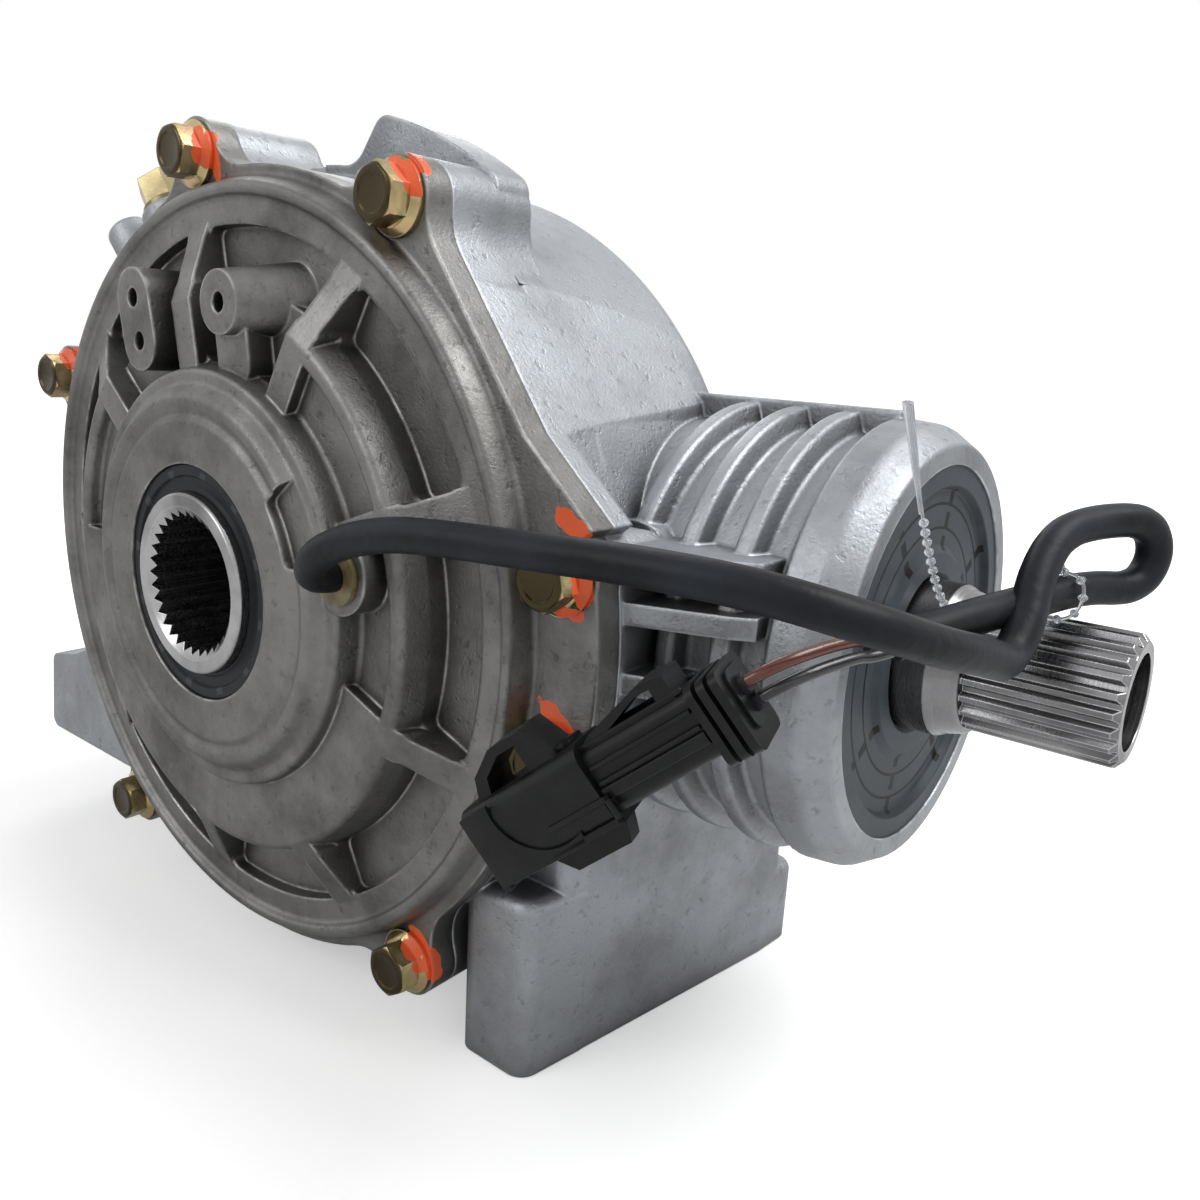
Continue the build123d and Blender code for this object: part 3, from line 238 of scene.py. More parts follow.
# Shrunk soft tubing: matt black with a blue-grey bloom and faint dents.
sleeve_black, sleeve_shader = new_material("sleeve_black", (0.010, 0.011, 0.013), 0.0, 0.46)
sleeve_shader.inputs["Specular IOR Level"].default_value = 0.16
sleeve_tree = sleeve_black.node_tree
sleeve_at = add_node(sleeve_tree, "TexCoord").outputs["Object"]
bloom = noise(sleeve_tree, sleeve_at, 60.0, 5.0)
bloomed = tinted(sleeve_tree, bloom, (0.35, (0.006, 0.0065, 0.008)), (0.72, (0.020, 0.024, 0.031)))
sleeve_tree.links.new(bloomed, sleeve_shader.inputs["Base Color"])
relief(sleeve_tree, sleeve_shader, noise(sleeve_tree, sleeve_at, 170.0, 3.0, Distortion=0.6), 0.5, 0.0006)
sleeve_tree.links.new(spread(sleeve_tree, bloom, 0.0, 1.0, 0.34, 0.58), sleeve_shader.inputs["Roughness"])
sleeve.data.materials.append(sleeve_black)

# Its two wires leave the sleeve's end for the connector, one red-brown and one dark grey, both glossy.
wire_thick = 0.0020
brown_route = [(-0.0440, -0.1447, 0.0145), (-0.0479, -0.1427, 0.0136), (-0.0525, -0.1414, 0.0143),
               (-0.0658, -0.1367, 0.0122), (-0.0670, -0.1330, 0.0090)]
grey_route = [(-0.0440, -0.1457, 0.0121), (-0.0479, -0.1437, 0.0112), (-0.0514, -0.1426, 0.0118),
              (-0.0636, -0.1382, 0.0096), (-0.0648, -0.1345, 0.0064)]


def plastic(name, dark, pale, roughness, specular, scale=200.0, depth=0.00008):
    """A moulded plastic or rubber: its colour clouds a little and its skin is finely uneven."""
    material, shader = new_material(name, dark, 0.0, roughness)
    shader.inputs["Specular IOR Level"].default_value = specular
    tree = material.node_tree
    at = add_node(tree, "TexCoord").outputs["Object"]
    clouds = noise(tree, at, scale, 5.0)
    tree.links.new(tinted(tree, clouds, (0.35, dark), (0.70, pale)), shader.inputs["Base Color"])
    gloss = spread(tree, clouds, 0.0, 1.0, roughness - 0.08, roughness + 0.10)
    tree.links.new(gloss, shader.inputs["Roughness"])
    relief(tree, shader, noise(tree, at, scale * 9, 2.0), 0.5, depth)
    return material


for wire_name, route, dark, pale in (
        ("wire_brown", brown_route, (0.085, 0.020, 0.012), (0.15, 0.045, 0.03)),
        ("wire_grey", grey_route, (0.020, 0.021, 0.024), (0.05, 0.05, 0.055))):
    wire = laid_curve(wire_name + "_soft", route, wire_thick)
    wire.data.materials.append(plastic(wire_name + "_skin", dark, pale, 0.22, 0.5, 120.0))
    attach(wire, "case")
    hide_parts(wire_name)


# The case: one aluminium casting, blasted bright, with the ribbed nose, the flange, the feet and the bosses.
# It is clouded by oil, darkened in its hollows by painted shade, and worn bright along its edges.

def new_group(name, given, made):
    """A shader node group, with the names and kinds of what it is given and what it makes."""
    group = bpy.data.node_groups.new(name, "ShaderNodeTree")
    for sockets, in_out in ((given, "INPUT"), (made, "OUTPUT")):
        for socket, kind in sockets:
            group.interface.new_socket(name=socket, in_out=in_out, socket_type="NodeSocket" + kind)
    return group, group.nodes.new("NodeGroupInput").outputs, group.nodes.new("NodeGroupOutput").inputs


def blend(tree, share, first, second, kind="RGBA"):
    """Two colours or two values mixed by a share."""
    mix = add_node(tree, "Mix", data_type=kind)
    sides = [one for one in mix.inputs if one.enabled]
    for socket, source in zip(sides, (share, first, second)):
        feed(tree, source, socket)
    return [one for one in mix.outputs if one.enabled][0]


def cast_skin():
    """The look of a blasted aluminium casting: grain, cloudy stains, painted shade in its hollows and bright
    worn edges.
    """
    group, given, made = new_group(
        "cast_skin",
        (("Clean", "Color"), ("Stain And Shade", "Color"), ("Bright", "Color"), ("Hollow Shade", "Float"),
         ("Edge", "Float"), ("Grain", "Float"), ("Stains", "Float")),
        (("Color", "Color"), ("Roughness", "Float"), ("Height", "Float")))
    at = add_node(group, "TexCoord").outputs["Object"]

    def cloud(scale, detail, rough=0.6):
        return noise(group, at, scale, detail, Roughness=rough)

    def times(first, second):
        return maths(group, "MULTIPLY", first, second)

    grain = cloud(1400.0, 4.0)
    clouds = cloud(34.0, 6.0, 0.65)
    specks = cloud(420.0, 3.0)
    stained = times(spread(group, clouds, 0.42, 0.68), given["Stains"])
    base = blend(group, stained, given["Clean"], given["Stain And Shade"])
    base = blend(group, times(spread(group, specks, 0.60, 0.72), 0.45), base, given["Stain And Shade"])
    smears = times(spread(group, cloud(11.0, 9.0, 0.75), 0.52, 0.66), given["Stains"])
    base = blend(group, times(smears, 0.7), base, given["Stain And Shade"])
    # Painted shade: hollows, read from the occlusion, are blended towards the stain colour.
    hollow_shade = times(given["Hollow Shade"], spread(group, cloud(90.0, 4.0), 0.3, 0.6, 0.75, 1.0))
    base = blend(group, hollow_shade, base, given["Stain And Shade"])
    worn = times(given["Edge"], spread(group, cloud(150.0, 5.0), 0.40, 0.66, 0.12, 0.75))
    base = blend(group, worn, base, given["Bright"])
    group.links.new(base, made["Color"])
    rough = maths(group, "ADD", spread(group, clouds, 0.3, 0.7, 0.40, 0.56),
                  spread(group, grain, 0.3, 0.7, -0.04, 0.04))
    group.links.new(maths(group, "SUBTRACT", rough, times(worn, 0.12)), made["Roughness"])
    pits = times(spread(group, specks, 0.58, 0.70), -0.6)
    height = maths(group, "ADD", maths(group, "ADD", grain, pits), spread(group, clouds, 0.0, 1.0, -0.3, 0.3))
    group.links.new(times(height, given["Grain"]), made["Height"])
    return group


cast_skin_group = cast_skin()


def metal(name, base, metallic, roughness, skin_group, values):
    """A metal with a skin's look, its shader, and the skin with its values set."""
    material, shader = new_material(name, base, metallic, roughness)
    skin = material.node_tree.nodes.new("ShaderNodeGroup")
    skin.node_tree = skin_group
    for socket, value in values.items():
        skin.inputs[socket].default_value = value if isinstance(value, float) else (*value, 1)
    return material, shader, skin


def show_wear_and_shade(tree, shader, skin, shade, shade_from, rounded, edge, grain):
    """Reads a skin's painted shade in hollows and its worn edges from the shape, and lays the skin on the
    shader.
    """
    tree.links.new(spread(tree, shade.outputs["AO"], shade_from, 0.30), skin.inputs["Hollow Shade"])
    surface = add_node(tree, "NewGeometry")
    turn = add_node(tree, "VectorMath", operation="DOT_PRODUCT")
    tree.links.new(rounded.outputs["Normal"], turn.inputs[0])
    tree.links.new(surface.outputs["Normal"], turn.inputs[1])
    tree.links.new(spread(tree, turn.outputs["Value"], *edge), skin.inputs["Edge"])
    tree.links.new(skin.outputs["Color"], shader.inputs["Base Color"])
    tree.links.new(skin.outputs["Roughness"], shader.inputs["Roughness"])
    relief(tree, shader, skin.outputs["Height"], *grain, under=rounded.outputs["Normal"])


def cast_material(name, clean, stain_and_shade, bright, grain, stains):
    """A casting's material, with its worn edges and its painted shade in hollows read from its shape."""
    values = {"Clean": clean, "Stain And Shade": stain_and_shade, "Bright": bright, "Grain": grain, "Stains": stains}
    material, shader, skin = metal(name, clean, 0.9, 0.45, cast_skin_group, values)
    tree = material.node_tree
    # Painted shade: the occlusion darkens the casting's hollows.
    shade = add_node(tree, "AmbientOcclusion", samples=8, Distance=0.012)
    rounded = add_node(tree, "Bevel", samples=8, Radius=0.0012)
    show_wear_and_shade(tree, shader, skin, shade, 0.75, rounded, (0.985, 0.78), (0.55, 0.0002))
    return material


def dress(node, material):
    """Gives a solid its finish."""
    for place in nodes[node].material_slots:
        place.material = material


# The quality mark: orange-red paint dabbed across each cover bolt and its lug when it has been tightened.
# Each stroke has its X, Y and Z, the turn of the brush in degrees, half its length and half its width.
paint_strokes = [
    (-0.0605, 0.0122, 0.0900, 71, 0.0070, 0.0019), (-0.0620, 0.0142, 0.0915, 71, 0.0048, 0.0022),
    (-0.0605, -0.0535, 0.0858, 32, 0.0042, 0.0018), (-0.0620, -0.0505, 0.0832, 32, 0.0068, 0.0026),
    (-0.0605, 0.0786, 0.0456, 30, 0.0045, 0.0018), (-0.0620, 0.0808, 0.0438, 30, 0.0055, 0.0021),
    (-0.0605, -0.0568, -0.0698, 31, 0.0048, 0.0019), (-0.0605, -0.0608, -0.0750, 70, 0.0052, 0.0018),
    (-0.0620, -0.0565, -0.0730, 50, 0.0046, 0.0022), (-0.0605, -0.0920, -0.0104, 32, 0.0062, 0.0023),
    (-0.0620, -0.0915, -0.0130, 20, 0.0040, 0.0018), (-0.0605, -0.0935, 0.0252, 30, 0.0060, 0.0021),
    (-0.0620, -0.0972, 0.0160, 80, 0.0055, 0.0020), (-0.0620, -0.0940, 0.0102, 15, 0.0042, 0.0018),
]
paint_thick = 0.0026


def paint_marks():
    """Where the paint lies: rounds of each stroke, broken up at their edges."""
    group, _, made = new_group("paint_marks", (), (("Paint", "Float"),))
    at = add_node(group, "TexCoord").outputs["Object"]
    total = 0.0
    for x, y, z, turn, half_long, half_wide in paint_strokes:
        stroke = add_node(group, "Mapping", vector_type="TEXTURE", Location=(x, y, z),
                          Rotation=(math.radians(turn), 0, 0), Scale=(paint_thick, half_long, half_wide))
        group.links.new(at, stroke.inputs["Vector"])
        away = add_node(group, "VectorMath", operation="LENGTH")
        group.links.new(stroke.outputs["Vector"], away.inputs[0])
        total = maths(group, "MAXIMUM", total, spread(group, away.outputs["Value"], 1.25, 0.35))
    ragged = maths(group, "ADD", total, noise(group, at, 380.0, 4.0))
    group.links.new(spread(group, ragged, 0.84, 0.90), made["Paint"])
    return group


paint_marks_group = paint_marks()


def mark_with_paint(material):
    """Lays the orange paint over a finish."""
    tree = material.node_tree
    shader = tree.nodes["Principled BSDF"]
    paint = tree.nodes.new("ShaderNodeGroup")
    paint.node_tree = paint_marks_group
    for socket, kind, painted in (("Base Color", "RGBA", (0.80, 0.115, 0.028, 1)),
                                  ("Roughness", "FLOAT", 0.42), ("Metallic", "FLOAT", 0.0)):
        given = shader.inputs[socket]
        under = given.links[0].from_socket if given.links else given.default_value
        tree.links.new(blend(tree, paint.outputs["Paint"], under, painted, kind), given)
    return material


case_metal = cast_material("case_metal", (0.33, 0.345, 0.365), (0.13, 0.133, 0.137), (0.72, 0.75, 0.78),
                           1.0, 0.55)
dress("gearcase_housing", mark_with_paint(case_metal))

# The cover: a second casting, bare, a little warmer and more stained, with painted shade in its pockets.
cover_metal = cast_material("cover_metal", (0.205, 0.203, 0.197), (0.062, 0.060, 0.056), (0.60, 0.59, 0.575),
                            0.9, 0.75)
dress("output_cover", mark_with_paint(cover_metal))


# The cover bolts: seven M6 steel flange bolts, cold headed with a shallow dish, zinc plated and passivated
# yellow, so they shade from brass to rose and green.
bolt_circle_r = 0.0929
bolt_turns = (102, 59, 155, 10, -11, -55, -128)  # degrees up from the pinion's side
bolt_seat_x = -0.0605
head_corner_r = 0.00577
head_high = 0.0066
flange_r = 0.0071
dish_r = 0.0034


def rod_along_x(name, radius, from_x, to_x, sides=48, far_radius=None):
    """A round or many-sided rod between two places on X."""
    deselect()
    bpy.ops.mesh.primitive_cone_add(vertices=sides, radius1=radius, radius2=far_radius or radius,
                                    depth=abs(to_x - from_x), location=((from_x + to_x) / 2, 0, 0),
                                    rotation=(0, math.pi / 2 if to_x > from_x else -math.pi / 2, 0))
    rod = bpy.context.object
    rod.name = name
    bpy.ops.object.transform_apply(location=True, rotation=True, scale=True)
    return rod


def combine(main, other, operation):
    """Joins, cuts or crosses one solid with another, which is used up."""
    deselect()
    main.select_set(True)
    bpy.context.view_layer.objects.active = main
    change = main.modifiers.new("combine", "BOOLEAN")
    change.operation = operation
    change.solver = "EXACT"
    change.object = other
    bpy.ops.object.modifier_apply(modifier="combine")
    bpy.data.objects.remove(other)
    return main


def soften(piece, width):
    """Rounds a piece's sharp edges a little and shades it smooth between them."""
    deselect()
    piece.select_set(True)
    bpy.context.view_layer.objects.active = piece
    edge = piece.modifiers.new("edge", "BEVEL")
    edge.width = width
    edge.segments = 2
    edge.limit_method = "ANGLE"
    edge.angle_limit = math.radians(30)
    bpy.ops.object.modifier_apply(modifier="edge")
    bpy.ops.object.shade_smooth_by_angle(angle=math.radians(35))
    return piece


bolt = rod_along_x("bolt", head_corner_r, 0.0002, -head_high, 6)
bolt = combine(bolt, rod_along_x("crown", 0.0178, 0.0010, -0.00662, 64, 0.0046), "INTERSECT")
bolt = combine(bolt, rod_along_x("dish", dish_r, -0.00635, -0.0070, 48, 0.0042), "DIFFERENCE")
bolt = combine(bolt, rod_along_x("flange", flange_r, -0.0008, -0.0021, 64, 0.0056), "UNION")
bolt = combine(bolt, rod_along_x("washer_face", flange_r, 0.0, -0.0009, 64), "UNION")
bolt = combine(bolt, rod_along_x("shank", 0.00295, 0.0188, -0.0005, 32), "UNION")
soften(bolt, 0.00018)

zinc, zinc_shader = new_material("yellow_zinc_plate", (0.50, 0.34, 0.12), 1.0, 0.24)
zinc_tree = zinc.node_tree
zinc_at = add_node(zinc_tree, "TexCoord").outputs["Object"]
tints = noise(zinc_tree, zinc_at, 130.0, 2.0, Distortion=0.8)
tints = tinted(zinc_tree, tints, (0.30, (0.22, 0.22, 0.11)), (0.74, (0.50, 0.31, 0.22)),
               (0.50, (0.52, 0.40, 0.20)))
zinc_place = add_node(zinc_tree, "SeparateXYZ")
zinc_tree.links.new(zinc_at, zinc_place.inputs["Vector"])
in_dish = spread(zinc_tree, zinc_place.outputs["X"], bolt_seat_x - 0.0061, bolt_seat_x - 0.0063)
zinc_colour = blend(zinc_tree, in_dish, tints, (0.055, 0.042, 0.022, 1))
zinc_tree.links.new(zinc_colour, zinc_shader.inputs["Base Color"])
relief(zinc_tree, zinc_shader, noise(zinc_tree, zinc_at, 900.0, 3.0), 0.35, 0.00012)
mark_with_paint(zinc)

for number, turn in enumerate(bolt_turns, 1):
    placed = bpy.data.objects.new(f"cover_bolt_{number}", bolt.data.copy())
    bpy.context.scene.collection.objects.link(placed)
    y = -bolt_circle_r * math.cos(math.radians(turn))
    z = bolt_circle_r * math.sin(math.radians(turn))
    placed.data.transform(Matrix.Translation((bolt_seat_x, y, z))
                          @ Matrix.Rotation(math.radians(turn * 1.7), 4, "X"))
    placed.data.materials.clear()
    placed.data.materials.append(zinc)
    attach(placed, "case")
    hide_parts("cover_bolts")
bpy.data.objects.remove(bolt)


# The turned and splined steel: hubs, ring and pinion shaft, with fine tool lines round the axle or the shaft.
# The bushings, plugs and winding are bronze, brass and copper with the same skin.

def from_axis(group, round_shaft):
    """Where a place lies along, across and out from the axle, or from the pinion shaft instead."""
    place = add_node(group, "SeparateXYZ")
    group.links.new(add_node(group, "TexCoord").outputs["Object"], place.inputs["Vector"])
    along = blend(group, round_shaft, place.outputs["X"], place.outputs["Y"], "FLOAT")
    across = blend(group, round_shaft, place.outputs["Y"], place.outputs["X"], "FLOAT")
    up = place.outputs["Z"]
    square = maths(group, "ADD", maths(group, "POWER", across, 2.0), maths(group, "POWER", up, 2.0))
    return along, across, up, maths(group, "SQRT", square)


def lathe_skin():
    """Turned steel: fine lines that follow the tool round an axis, clouds of oil and heat colour, and painted
    shade in its hollows.
    """
    group, given, made = new_group(
        "lathe_skin",
        (("Bare", "Color"), ("Dark", "Color"), ("Worn", "Color"), ("Edge", "Float"), ("Hollow Shade", "Float"),
         ("Round Shaft", "Float")),
        (("Color", "Color"), ("Roughness", "Float"), ("Height", "Float")))
    at = add_node(group, "TexCoord").outputs["Object"]
    along, _, _, out = from_axis(group, given["Round Shaft"])
    track = add_node(group, "CombineXYZ")
    group.links.new(along, track.inputs["X"])
    group.links.new(out, track.inputs["Y"])
    lines = noise(group, track.outputs["Vector"], 2600.0, 3.0)
    clouds = noise(group, at, 70.0, 5.0)
    shade = maths(group, "MULTIPLY", spread(group, clouds, 0.45, 0.70), 0.7)
    # Oil clouds and painted shade in the hollows both darken the steel towards its dark colour.
    base = blend(group, maths(group, "MAXIMUM", shade, given["Hollow Shade"]), given["Bare"], given["Dark"])
    worn = maths(group, "MULTIPLY", given["Edge"], spread(group, clouds, 0.25, 0.55, 0.5, 1.0))
    group.links.new(blend(group, worn, base, given["Worn"]), made["Color"])
    rough = maths(group, "ADD", spread(group, clouds, 0.3, 0.7, 0.20, 0.34),
                  spread(group, lines, 0.3, 0.7, -0.04, 0.06))
    group.links.new(rough, made["Roughness"])
    group.links.new(lines, made["Height"])
    return group


lathe_skin_group = lathe_skin()


def turned_steel(name, bare, dark, worn, round_shaft=0.0):
    """A turned metal's material, bright on its worn edges and with painted shade in its grooves."""
    values = {"Bare": bare, "Dark": dark, "Worn": worn, "Round Shaft": round_shaft}
    material, shader, skin = metal(name, bare, 1.0, 0.28, lathe_skin_group, values)
    tree = material.node_tree
    # Painted shade: the occlusion darkens the grooves.
    shade = add_node(tree, "AmbientOcclusion", samples=8, Distance=0.004)
    rounded = add_node(tree, "Bevel", samples=6, Radius=0.0003)
    show_wear_and_shade(tree, shader, skin, shade, 0.80, rounded, (0.995, 0.88), (0.4, 0.00004))
    return material


hub_steel = turned_steel("hub_steel", (0.40, 0.40, 0.40), (0.10, 0.10, 0.10), (0.75, 0.75, 0.75))
gear_steel = turned_steel("gear_steel", (0.30, 0.295, 0.29), (0.07, 0.068, 0.066), (0.62, 0.61, 0.60))
shaft_steel = turned_steel("shaft_steel", (0.24, 0.24, 0.245), (0.045, 0.044, 0.045), (0.66, 0.67, 0.69), 1.0)
bearing_steel = turned_steel("bearing_steel", (0.55, 0.55, 0.55), (0.20, 0.20, 0.20), (0.8, 0.8, 0.8), 1.0)
sprung_steel = turned_steel("spring_steel", (0.16, 0.16, 0.165), (0.04, 0.04, 0.042), (0.45, 0.45, 0.46))
bronze = turned_steel("bearing_bronze", (0.46, 0.31, 0.15), (0.20, 0.13, 0.06), (0.72, 0.52, 0.28))
brass = turned_steel("plug_brass", (0.24, 0.20, 0.11), (0.10, 0.08, 0.045), (0.50, 0.43, 0.26))
copper = turned_steel("winding_copper", (0.50, 0.20, 0.10), (0.22, 0.08, 0.04), (0.75, 0.38, 0.22))
for finish, dressed in (
        (hub_steel, ("output_hub_left", "output_hub_right", "clutch_rollers_left", "clutch_rollers_right",
                     "hub_thrust_washer")),
        (gear_steel, ("ring_gear", "armature_plate", "coil_body")),
        (shaft_steel, ("pinion_shaft",)),
        (bearing_steel, ("pinion_bearing_outer_ring", "pinion_bearing_inner_ring", "pinion_bearing_rollers")),
        (sprung_steel, ("centring_spring", "pinion_snap_ring", "pinion_circlip")),
        (bronze, ("output_bushing_left", "output_bushing_right", "ring_bushing_left", "ring_bushing_right")),
        (brass, ("fill_plug", "drain_plug")),
        (copper, ("coil_winding",))):
    for node in dressed:
        dress(node, finish)


# The lip seals: black rubber over a steel ring, pressed into their bores. The large one round the pinion
# shaft has stepped circles and rows of short moulded marks on its face, the small ones paired ticks.

def moulded_marks():
    """Rows of marks at even turns round an axis, and shallow circles between them."""
    group, given, made = new_group(
        "moulded_marks",
        [(name, "Float") for name in
         ("Round Shaft", "Turn", "Start", "Half Width", "Inner", "Outer", "Pitch", "Share")],
        (("Mark", "Float"), ("Circles", "Float")))

    def times(first, second):
        return maths(group, "MULTIPLY", first, second)

    _, across, up, out = from_axis(group, given["Round Shaft"])
    angle = maths(group, "SUBTRACT", maths(group, "ARCTAN2", up, across), given["Start"])
    turned = maths(group, "DIVIDE", angle, given["Turn"])
    off = times(maths(group, "SUBTRACT", turned, maths(group, "ROUND", turned)), given["Turn"])
    beside = times(maths(group, "ABSOLUTE", off), out)
    in_row = maths(group, "LESS_THAN", beside, given["Half Width"])
    in_ring = times(maths(group, "GREATER_THAN", out, given["Inner"]),
                    maths(group, "LESS_THAN", out, given["Outer"]))
    steps_out = maths(group, "DIVIDE", maths(group, "SUBTRACT", out, given["Inner"]), given["Pitch"])
    step = maths(group, "FRACT", steps_out)
    in_step = maths(group, "LESS_THAN", step, given["Share"])
    group.links.new(times(times(in_row, in_ring), in_step), made["Mark"])
    group.links.new(times(maths(group, "GREATER_THAN", step, 0.88), in_ring), made["Circles"])
    return group


moulded_marks_group = moulded_marks()


def seal_rubber(name, face, mark, rows):
    """A seal's rubber with the marks on its face, where rows says how they lie."""
    material = plastic(name, face, tuple(value * 1.5 for value in face), 0.44, 0.16, 160.0)
    tree = material.node_tree
    shader = tree.nodes["Principled BSDF"]
    marks = tree.nodes.new("ShaderNodeGroup")
    marks.node_tree = moulded_marks_group
    for socket, value in rows.items():
        marks.inputs[socket].default_value = value
    cut = maths(tree, "MAXIMUM", marks.outputs["Mark"], marks.outputs["Circles"])
    clean = shader.inputs["Base Color"].links[0].from_socket
    tree.links.new(blend(tree, cut, clean, (*mark, 1)), shader.inputs["Base Color"])
    relief(tree, shader, cut, 1.0, 0.0006, under=shader.inputs["Normal"].links[0].from_socket, sunk=True)
    return material


# The pinion seal's marks and circles are coloured near-black: painted shade in its sunk slots and at its
# steps.
pinion_seal_rows = {"Round Shaft": 1.0, "Turn": math.radians(45), "Start": math.radians(78),
                    "Inner": 0.0205, "Outer": 0.0338, "Pitch": 0.0047, "Share": 0.62, "Half Width": 0.0010}
dress("pinion_seal", seal_rubber("pinion_seal_rubber", (0.046, 0.055, 0.064), (0.0010, 0.0010, 0.0010),
                                 pinion_seal_rows))
output_seal_ticks = {"Round Shaft": 0.0, "Turn": math.radians(30), "Start": math.radians(10.5),
                     "Inner": 0.0232, "Outer": 0.0249, "Pitch": 0.0030, "Share": 0.6, "Half Width": 0.0011}
tick_rubber = seal_rubber("output_seal_rubber", (0.011, 0.012, 0.014), (0.045, 0.047, 0.05),
                          output_seal_ticks)
dress("output_seal_left", tick_rubber)
dress("output_seal_right", tick_rubber)
soft_black = plastic("soft_black_rubber", (0.010, 0.010, 0.012), (0.022, 0.022, 0.025), 0.5, 0.3)
dress("cover_seal_ring", soft_black)
dress("connector_wire_seals", soft_black)

# The grommet is soft amber rubber, its colour clouded a little.
dress("lead_grommet", plastic("grommet_amber", (0.10, 0.075, 0.03), (0.26, 0.21, 0.10), 0.42, 0.4, 260.0))


# The connector: two black glass-filled nylon halves, latched together, with a stepped retainer behind them.
# Its rails, cheeks and latch are laid in its own directions, along it, to its side and up, in millimetres.
black_nylon = plastic("black_nylon", (0.0050, 0.0054, 0.0060), (0.010, 0.0105, 0.0115), 0.36, 0.22, 240.0,
                      0.00005)
for node in ("connector_plug", "connector_shell", "connector_rear_lock"):
    dress(node, black_nylon)

connector_origin = Vector((-0.0794, -0.0910, -0.0290))
connector_along = Vector((0.2331, -0.7378, 0.6335))
connector_up = Vector((-0.2188, 0.5949, 0.7734))
connector_side = connector_up.cross(connector_along)
connector_place = Matrix.Translation(connector_origin) @ Matrix(
    (connector_along, connector_side, connector_up)).transposed().to_4x4()
nylon_rounding = 0.0003


def nylon_bar(name, low, high):
    """A moulded bar between two corners."""
    deselect()
    middle = [(one + two) / 2000 for one, two in zip(low, high)]
    bpy.ops.mesh.primitive_cube_add(size=1, location=middle)
    bar = bpy.context.object
    bar.name = name
    bar.scale = [(two - one) / 1000 for one, two in zip(low, high)]
    bpy.ops.object.transform_apply(location=True, rotation=True, scale=True)
    return soften(bar, nylon_rounding)


bars = []
for side in (-1, 1):
    near, far = sorted((side * 4.9, side * 6.1))
    for z in (-0.3, 2.4):
        bars.append(nylon_bar("plug_rail", (30.6, near, z), (50.0, far, z + 0.8)))
    near, far = sorted((side * 6.4, side * 7.15))
    bars.append(nylon_bar("shell_rail", (17.0, near, -6.6), (31.5, far, -5.4)))
    bars.append(nylon_bar("shell_rail", (19.0, near, -2.6), (31.5, far, -1.5)))
    bars.append(nylon_bar("shell_rail_end", (30.3, near, -6.6), (31.5, far, -1.5)))
    cheek = nylon_bar("shell_cheek", (5.6, near, -6.8), (24.0, far, 6.4))
    deselect()
    bpy.ops.mesh.primitive_cylinder_add(vertices=64, radius=0.0092, depth=0.030, location=(0.0205, 0, 0.0040),
                                        rotation=(math.pi / 2, 0, 0))
    bars.append(combine(cheek, bpy.context.object, "DIFFERENCE"))
for out in (3.4, -4.2):
    bars.append(nylon_bar("plug_top_rail", (18.0, out, 5.5), (50.0, out + 0.8, 6.4)))
bars.append(nylon_bar("shell_collar", (5.4, -7.0, -7.5), (7.2, 7.0, -6.6)))
bars.append(nylon_bar("latch_hook", (22.5, -2.6, 7.0), (28.5, 2.6, 8.2)))
bars.append(nylon_bar("latch_nose", (27.0, -2.6, 6.0), (28.5, 2.6, 8.2)))


def join_pieces(pieces, name):
    """One object of several, under a new name."""
    deselect()
    for piece in pieces:
        piece.select_set(True)
    bpy.context.view_layer.objects.active = pieces[0]
    bpy.ops.object.join()
    joined = bpy.context.object
    joined.name = name
    joined.data.materials.clear()
    return joined


trim = join_pieces(bars, "connector_trim")
trim.data.transform(connector_place)
trim.data.materials.append(black_nylon)
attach(trim, "case")

# The cages of the clutch and of the pinion bearing are moulded in the same nylon, dark and oily.
cage_nylon = plastic("cage_nylon", (0.030, 0.028, 0.024), (0.055, 0.05, 0.042), 0.3, 0.45)
for node in ("roll_cage", "pinion_bearing_cage"):
    dress(node, cage_nylon)


# The tie: a clear nylon lace moulded with beads like drops, looped round the lead. Its pointed end stands up.
# It is thin as string between its beads.
string_thick = 0.0006
point_long = 0.0215
tie_route = [
    (-0.0470, -0.1440, 0.0500), (-0.0345, -0.1434, 0.0320), (-0.0225, -0.1440, 0.0160),
    (-0.0185, -0.1455, 0.0140), (-0.0075, -0.1539, 0.0133), (-0.0070, -0.1626, 0.0135),
    (-0.0055, -0.1632, 0.0217), (-0.0050, -0.1548, 0.0215), (-0.0079, -0.1530, 0.0178),
]
tie_line = laid_curve("tie_line", tie_route, 0.0)
tie_line.data.use_fill_caps = False
tie_points = [point.co.copy() for point in bpy.data.meshes.new_from_object(tie_line).vertices]
bpy.data.objects.remove(tie_line)
steps = [0.0]
for first, second in zip(tie_points, tie_points[1:]):
    steps.append(steps[-1] + (second - first).length)


def on_tie(far):
    """The place on the tie's line this far from its pointed end, and its direction there."""
    number = next(count for count, step in enumerate(steps) if count and step >= far)
    first, second = tie_points[number - 1], tie_points[number]
    share = (far - steps[number - 1]) / (steps[number] - steps[number - 1])
    return first.lerp(second, share), (second - first).normalized()


def turned_to(place, way):
    """Moves a mesh from the origin to a place, with its Z turned to a direction."""
    return Matrix.Translation(place) @ way.to_track_quat("Z", "Y").to_matrix().to_4x4()


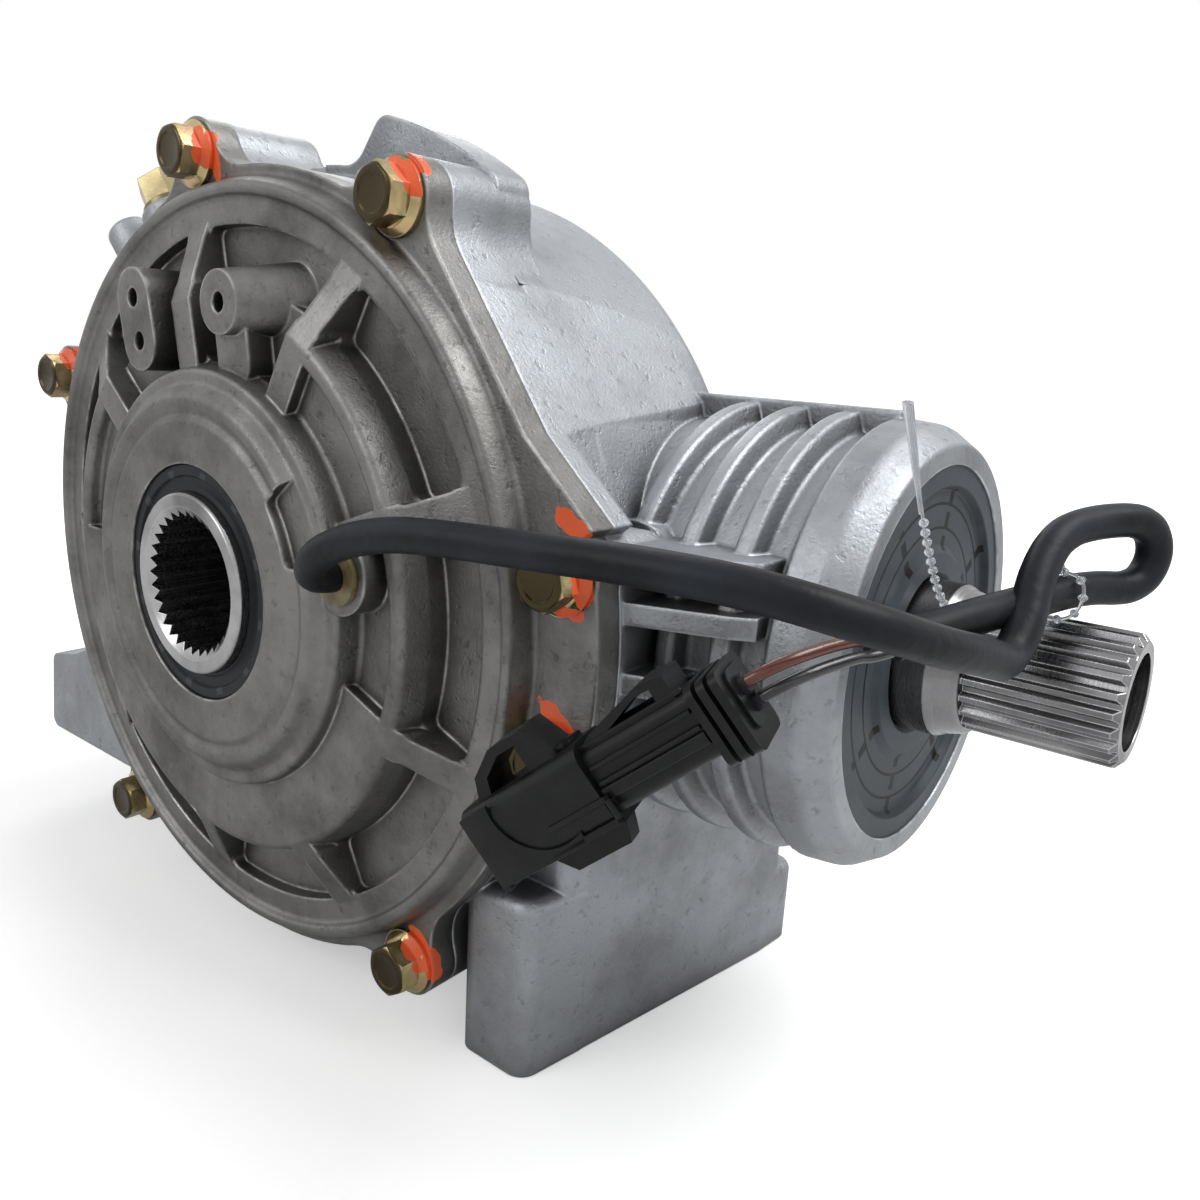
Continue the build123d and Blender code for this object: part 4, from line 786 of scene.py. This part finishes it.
tie_string = laid_curve("tie_string", tie_route, string_thick)
tie_string.data.bevel_resolution = 3
deselect()
tie_string.select_set(True)
bpy.context.view_layer.objects.active = tie_string
bpy.ops.object.convert(target="MESH")
tie_parts = [bpy.context.object]

deselect()
bpy.ops.mesh.primitive_uv_sphere_add(segments=14, ring_count=9, radius=0.00082)
drop = bpy.context.object
bpy.ops.object.mode_set(mode="EDIT")
bpy.ops.mesh.select_all(action="SELECT")
bpy.ops.transform.resize(value=(1, 1, 0.85))
bpy.ops.object.mode_set(mode="OBJECT")
bpy.ops.object.shade_smooth()
bead_places = [0.0235 + 0.00215 * number for number in range(10)]
bead_places += [0.0465 + 0.0031 * number for number in range(11)]
for far in bead_places:
    bead = bpy.data.objects.new("bead", drop.data.copy())
    bpy.context.scene.collection.objects.link(bead)
    bead.data.transform(turned_to(*on_tie(far)))
    tie_parts.append(bead)
bpy.data.objects.remove(drop)

deselect()
bpy.ops.mesh.primitive_cone_add(vertices=16, radius1=0.0009, radius2=0.00038, depth=point_long)
point_end = bpy.context.object
bpy.ops.object.mode_set(mode="EDIT")
bpy.ops.mesh.select_all(action="SELECT")
bpy.ops.mesh.subdivide(number_cuts=3)
bpy.ops.transform.resize(value=(1.0, 0.55, 1.0))
bpy.ops.object.mode_set(mode="OBJECT")
start, way = on_tie(0.0002)
point_end.data.transform(turned_to(start + way * 0.0106, way))
tie_parts.append(point_end)

deselect()
bpy.ops.mesh.primitive_cone_add(vertices=3, radius1=0.0021, radius2=0.0010, depth=0.0016,
                                location=(-0.0052, -0.1580, 0.0222))
tie_parts.append(bpy.context.object)
tie = join_pieces(tie_parts, "beaded_tie_clear")
bpy.ops.object.transform_apply(location=True, rotation=True, scale=True)
bpy.ops.object.shade_smooth_by_angle(angle=math.radians(45))
clear_nylon = plastic("clear_nylon", (0.80, 0.83, 0.86), (0.92, 0.94, 0.96), 0.12, 0.5, 300.0)
clear_nylon.node_tree.nodes["Principled BSDF"].inputs["Transmission Weight"].default_value = 0.75
clear_nylon.node_tree.nodes["Principled BSDF"].inputs["IOR"].default_value = 1.42
tie.data.materials.append(clear_nylon)
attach(tie, "case")
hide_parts("beaded_tie")

bpy.context.view_layer.update()
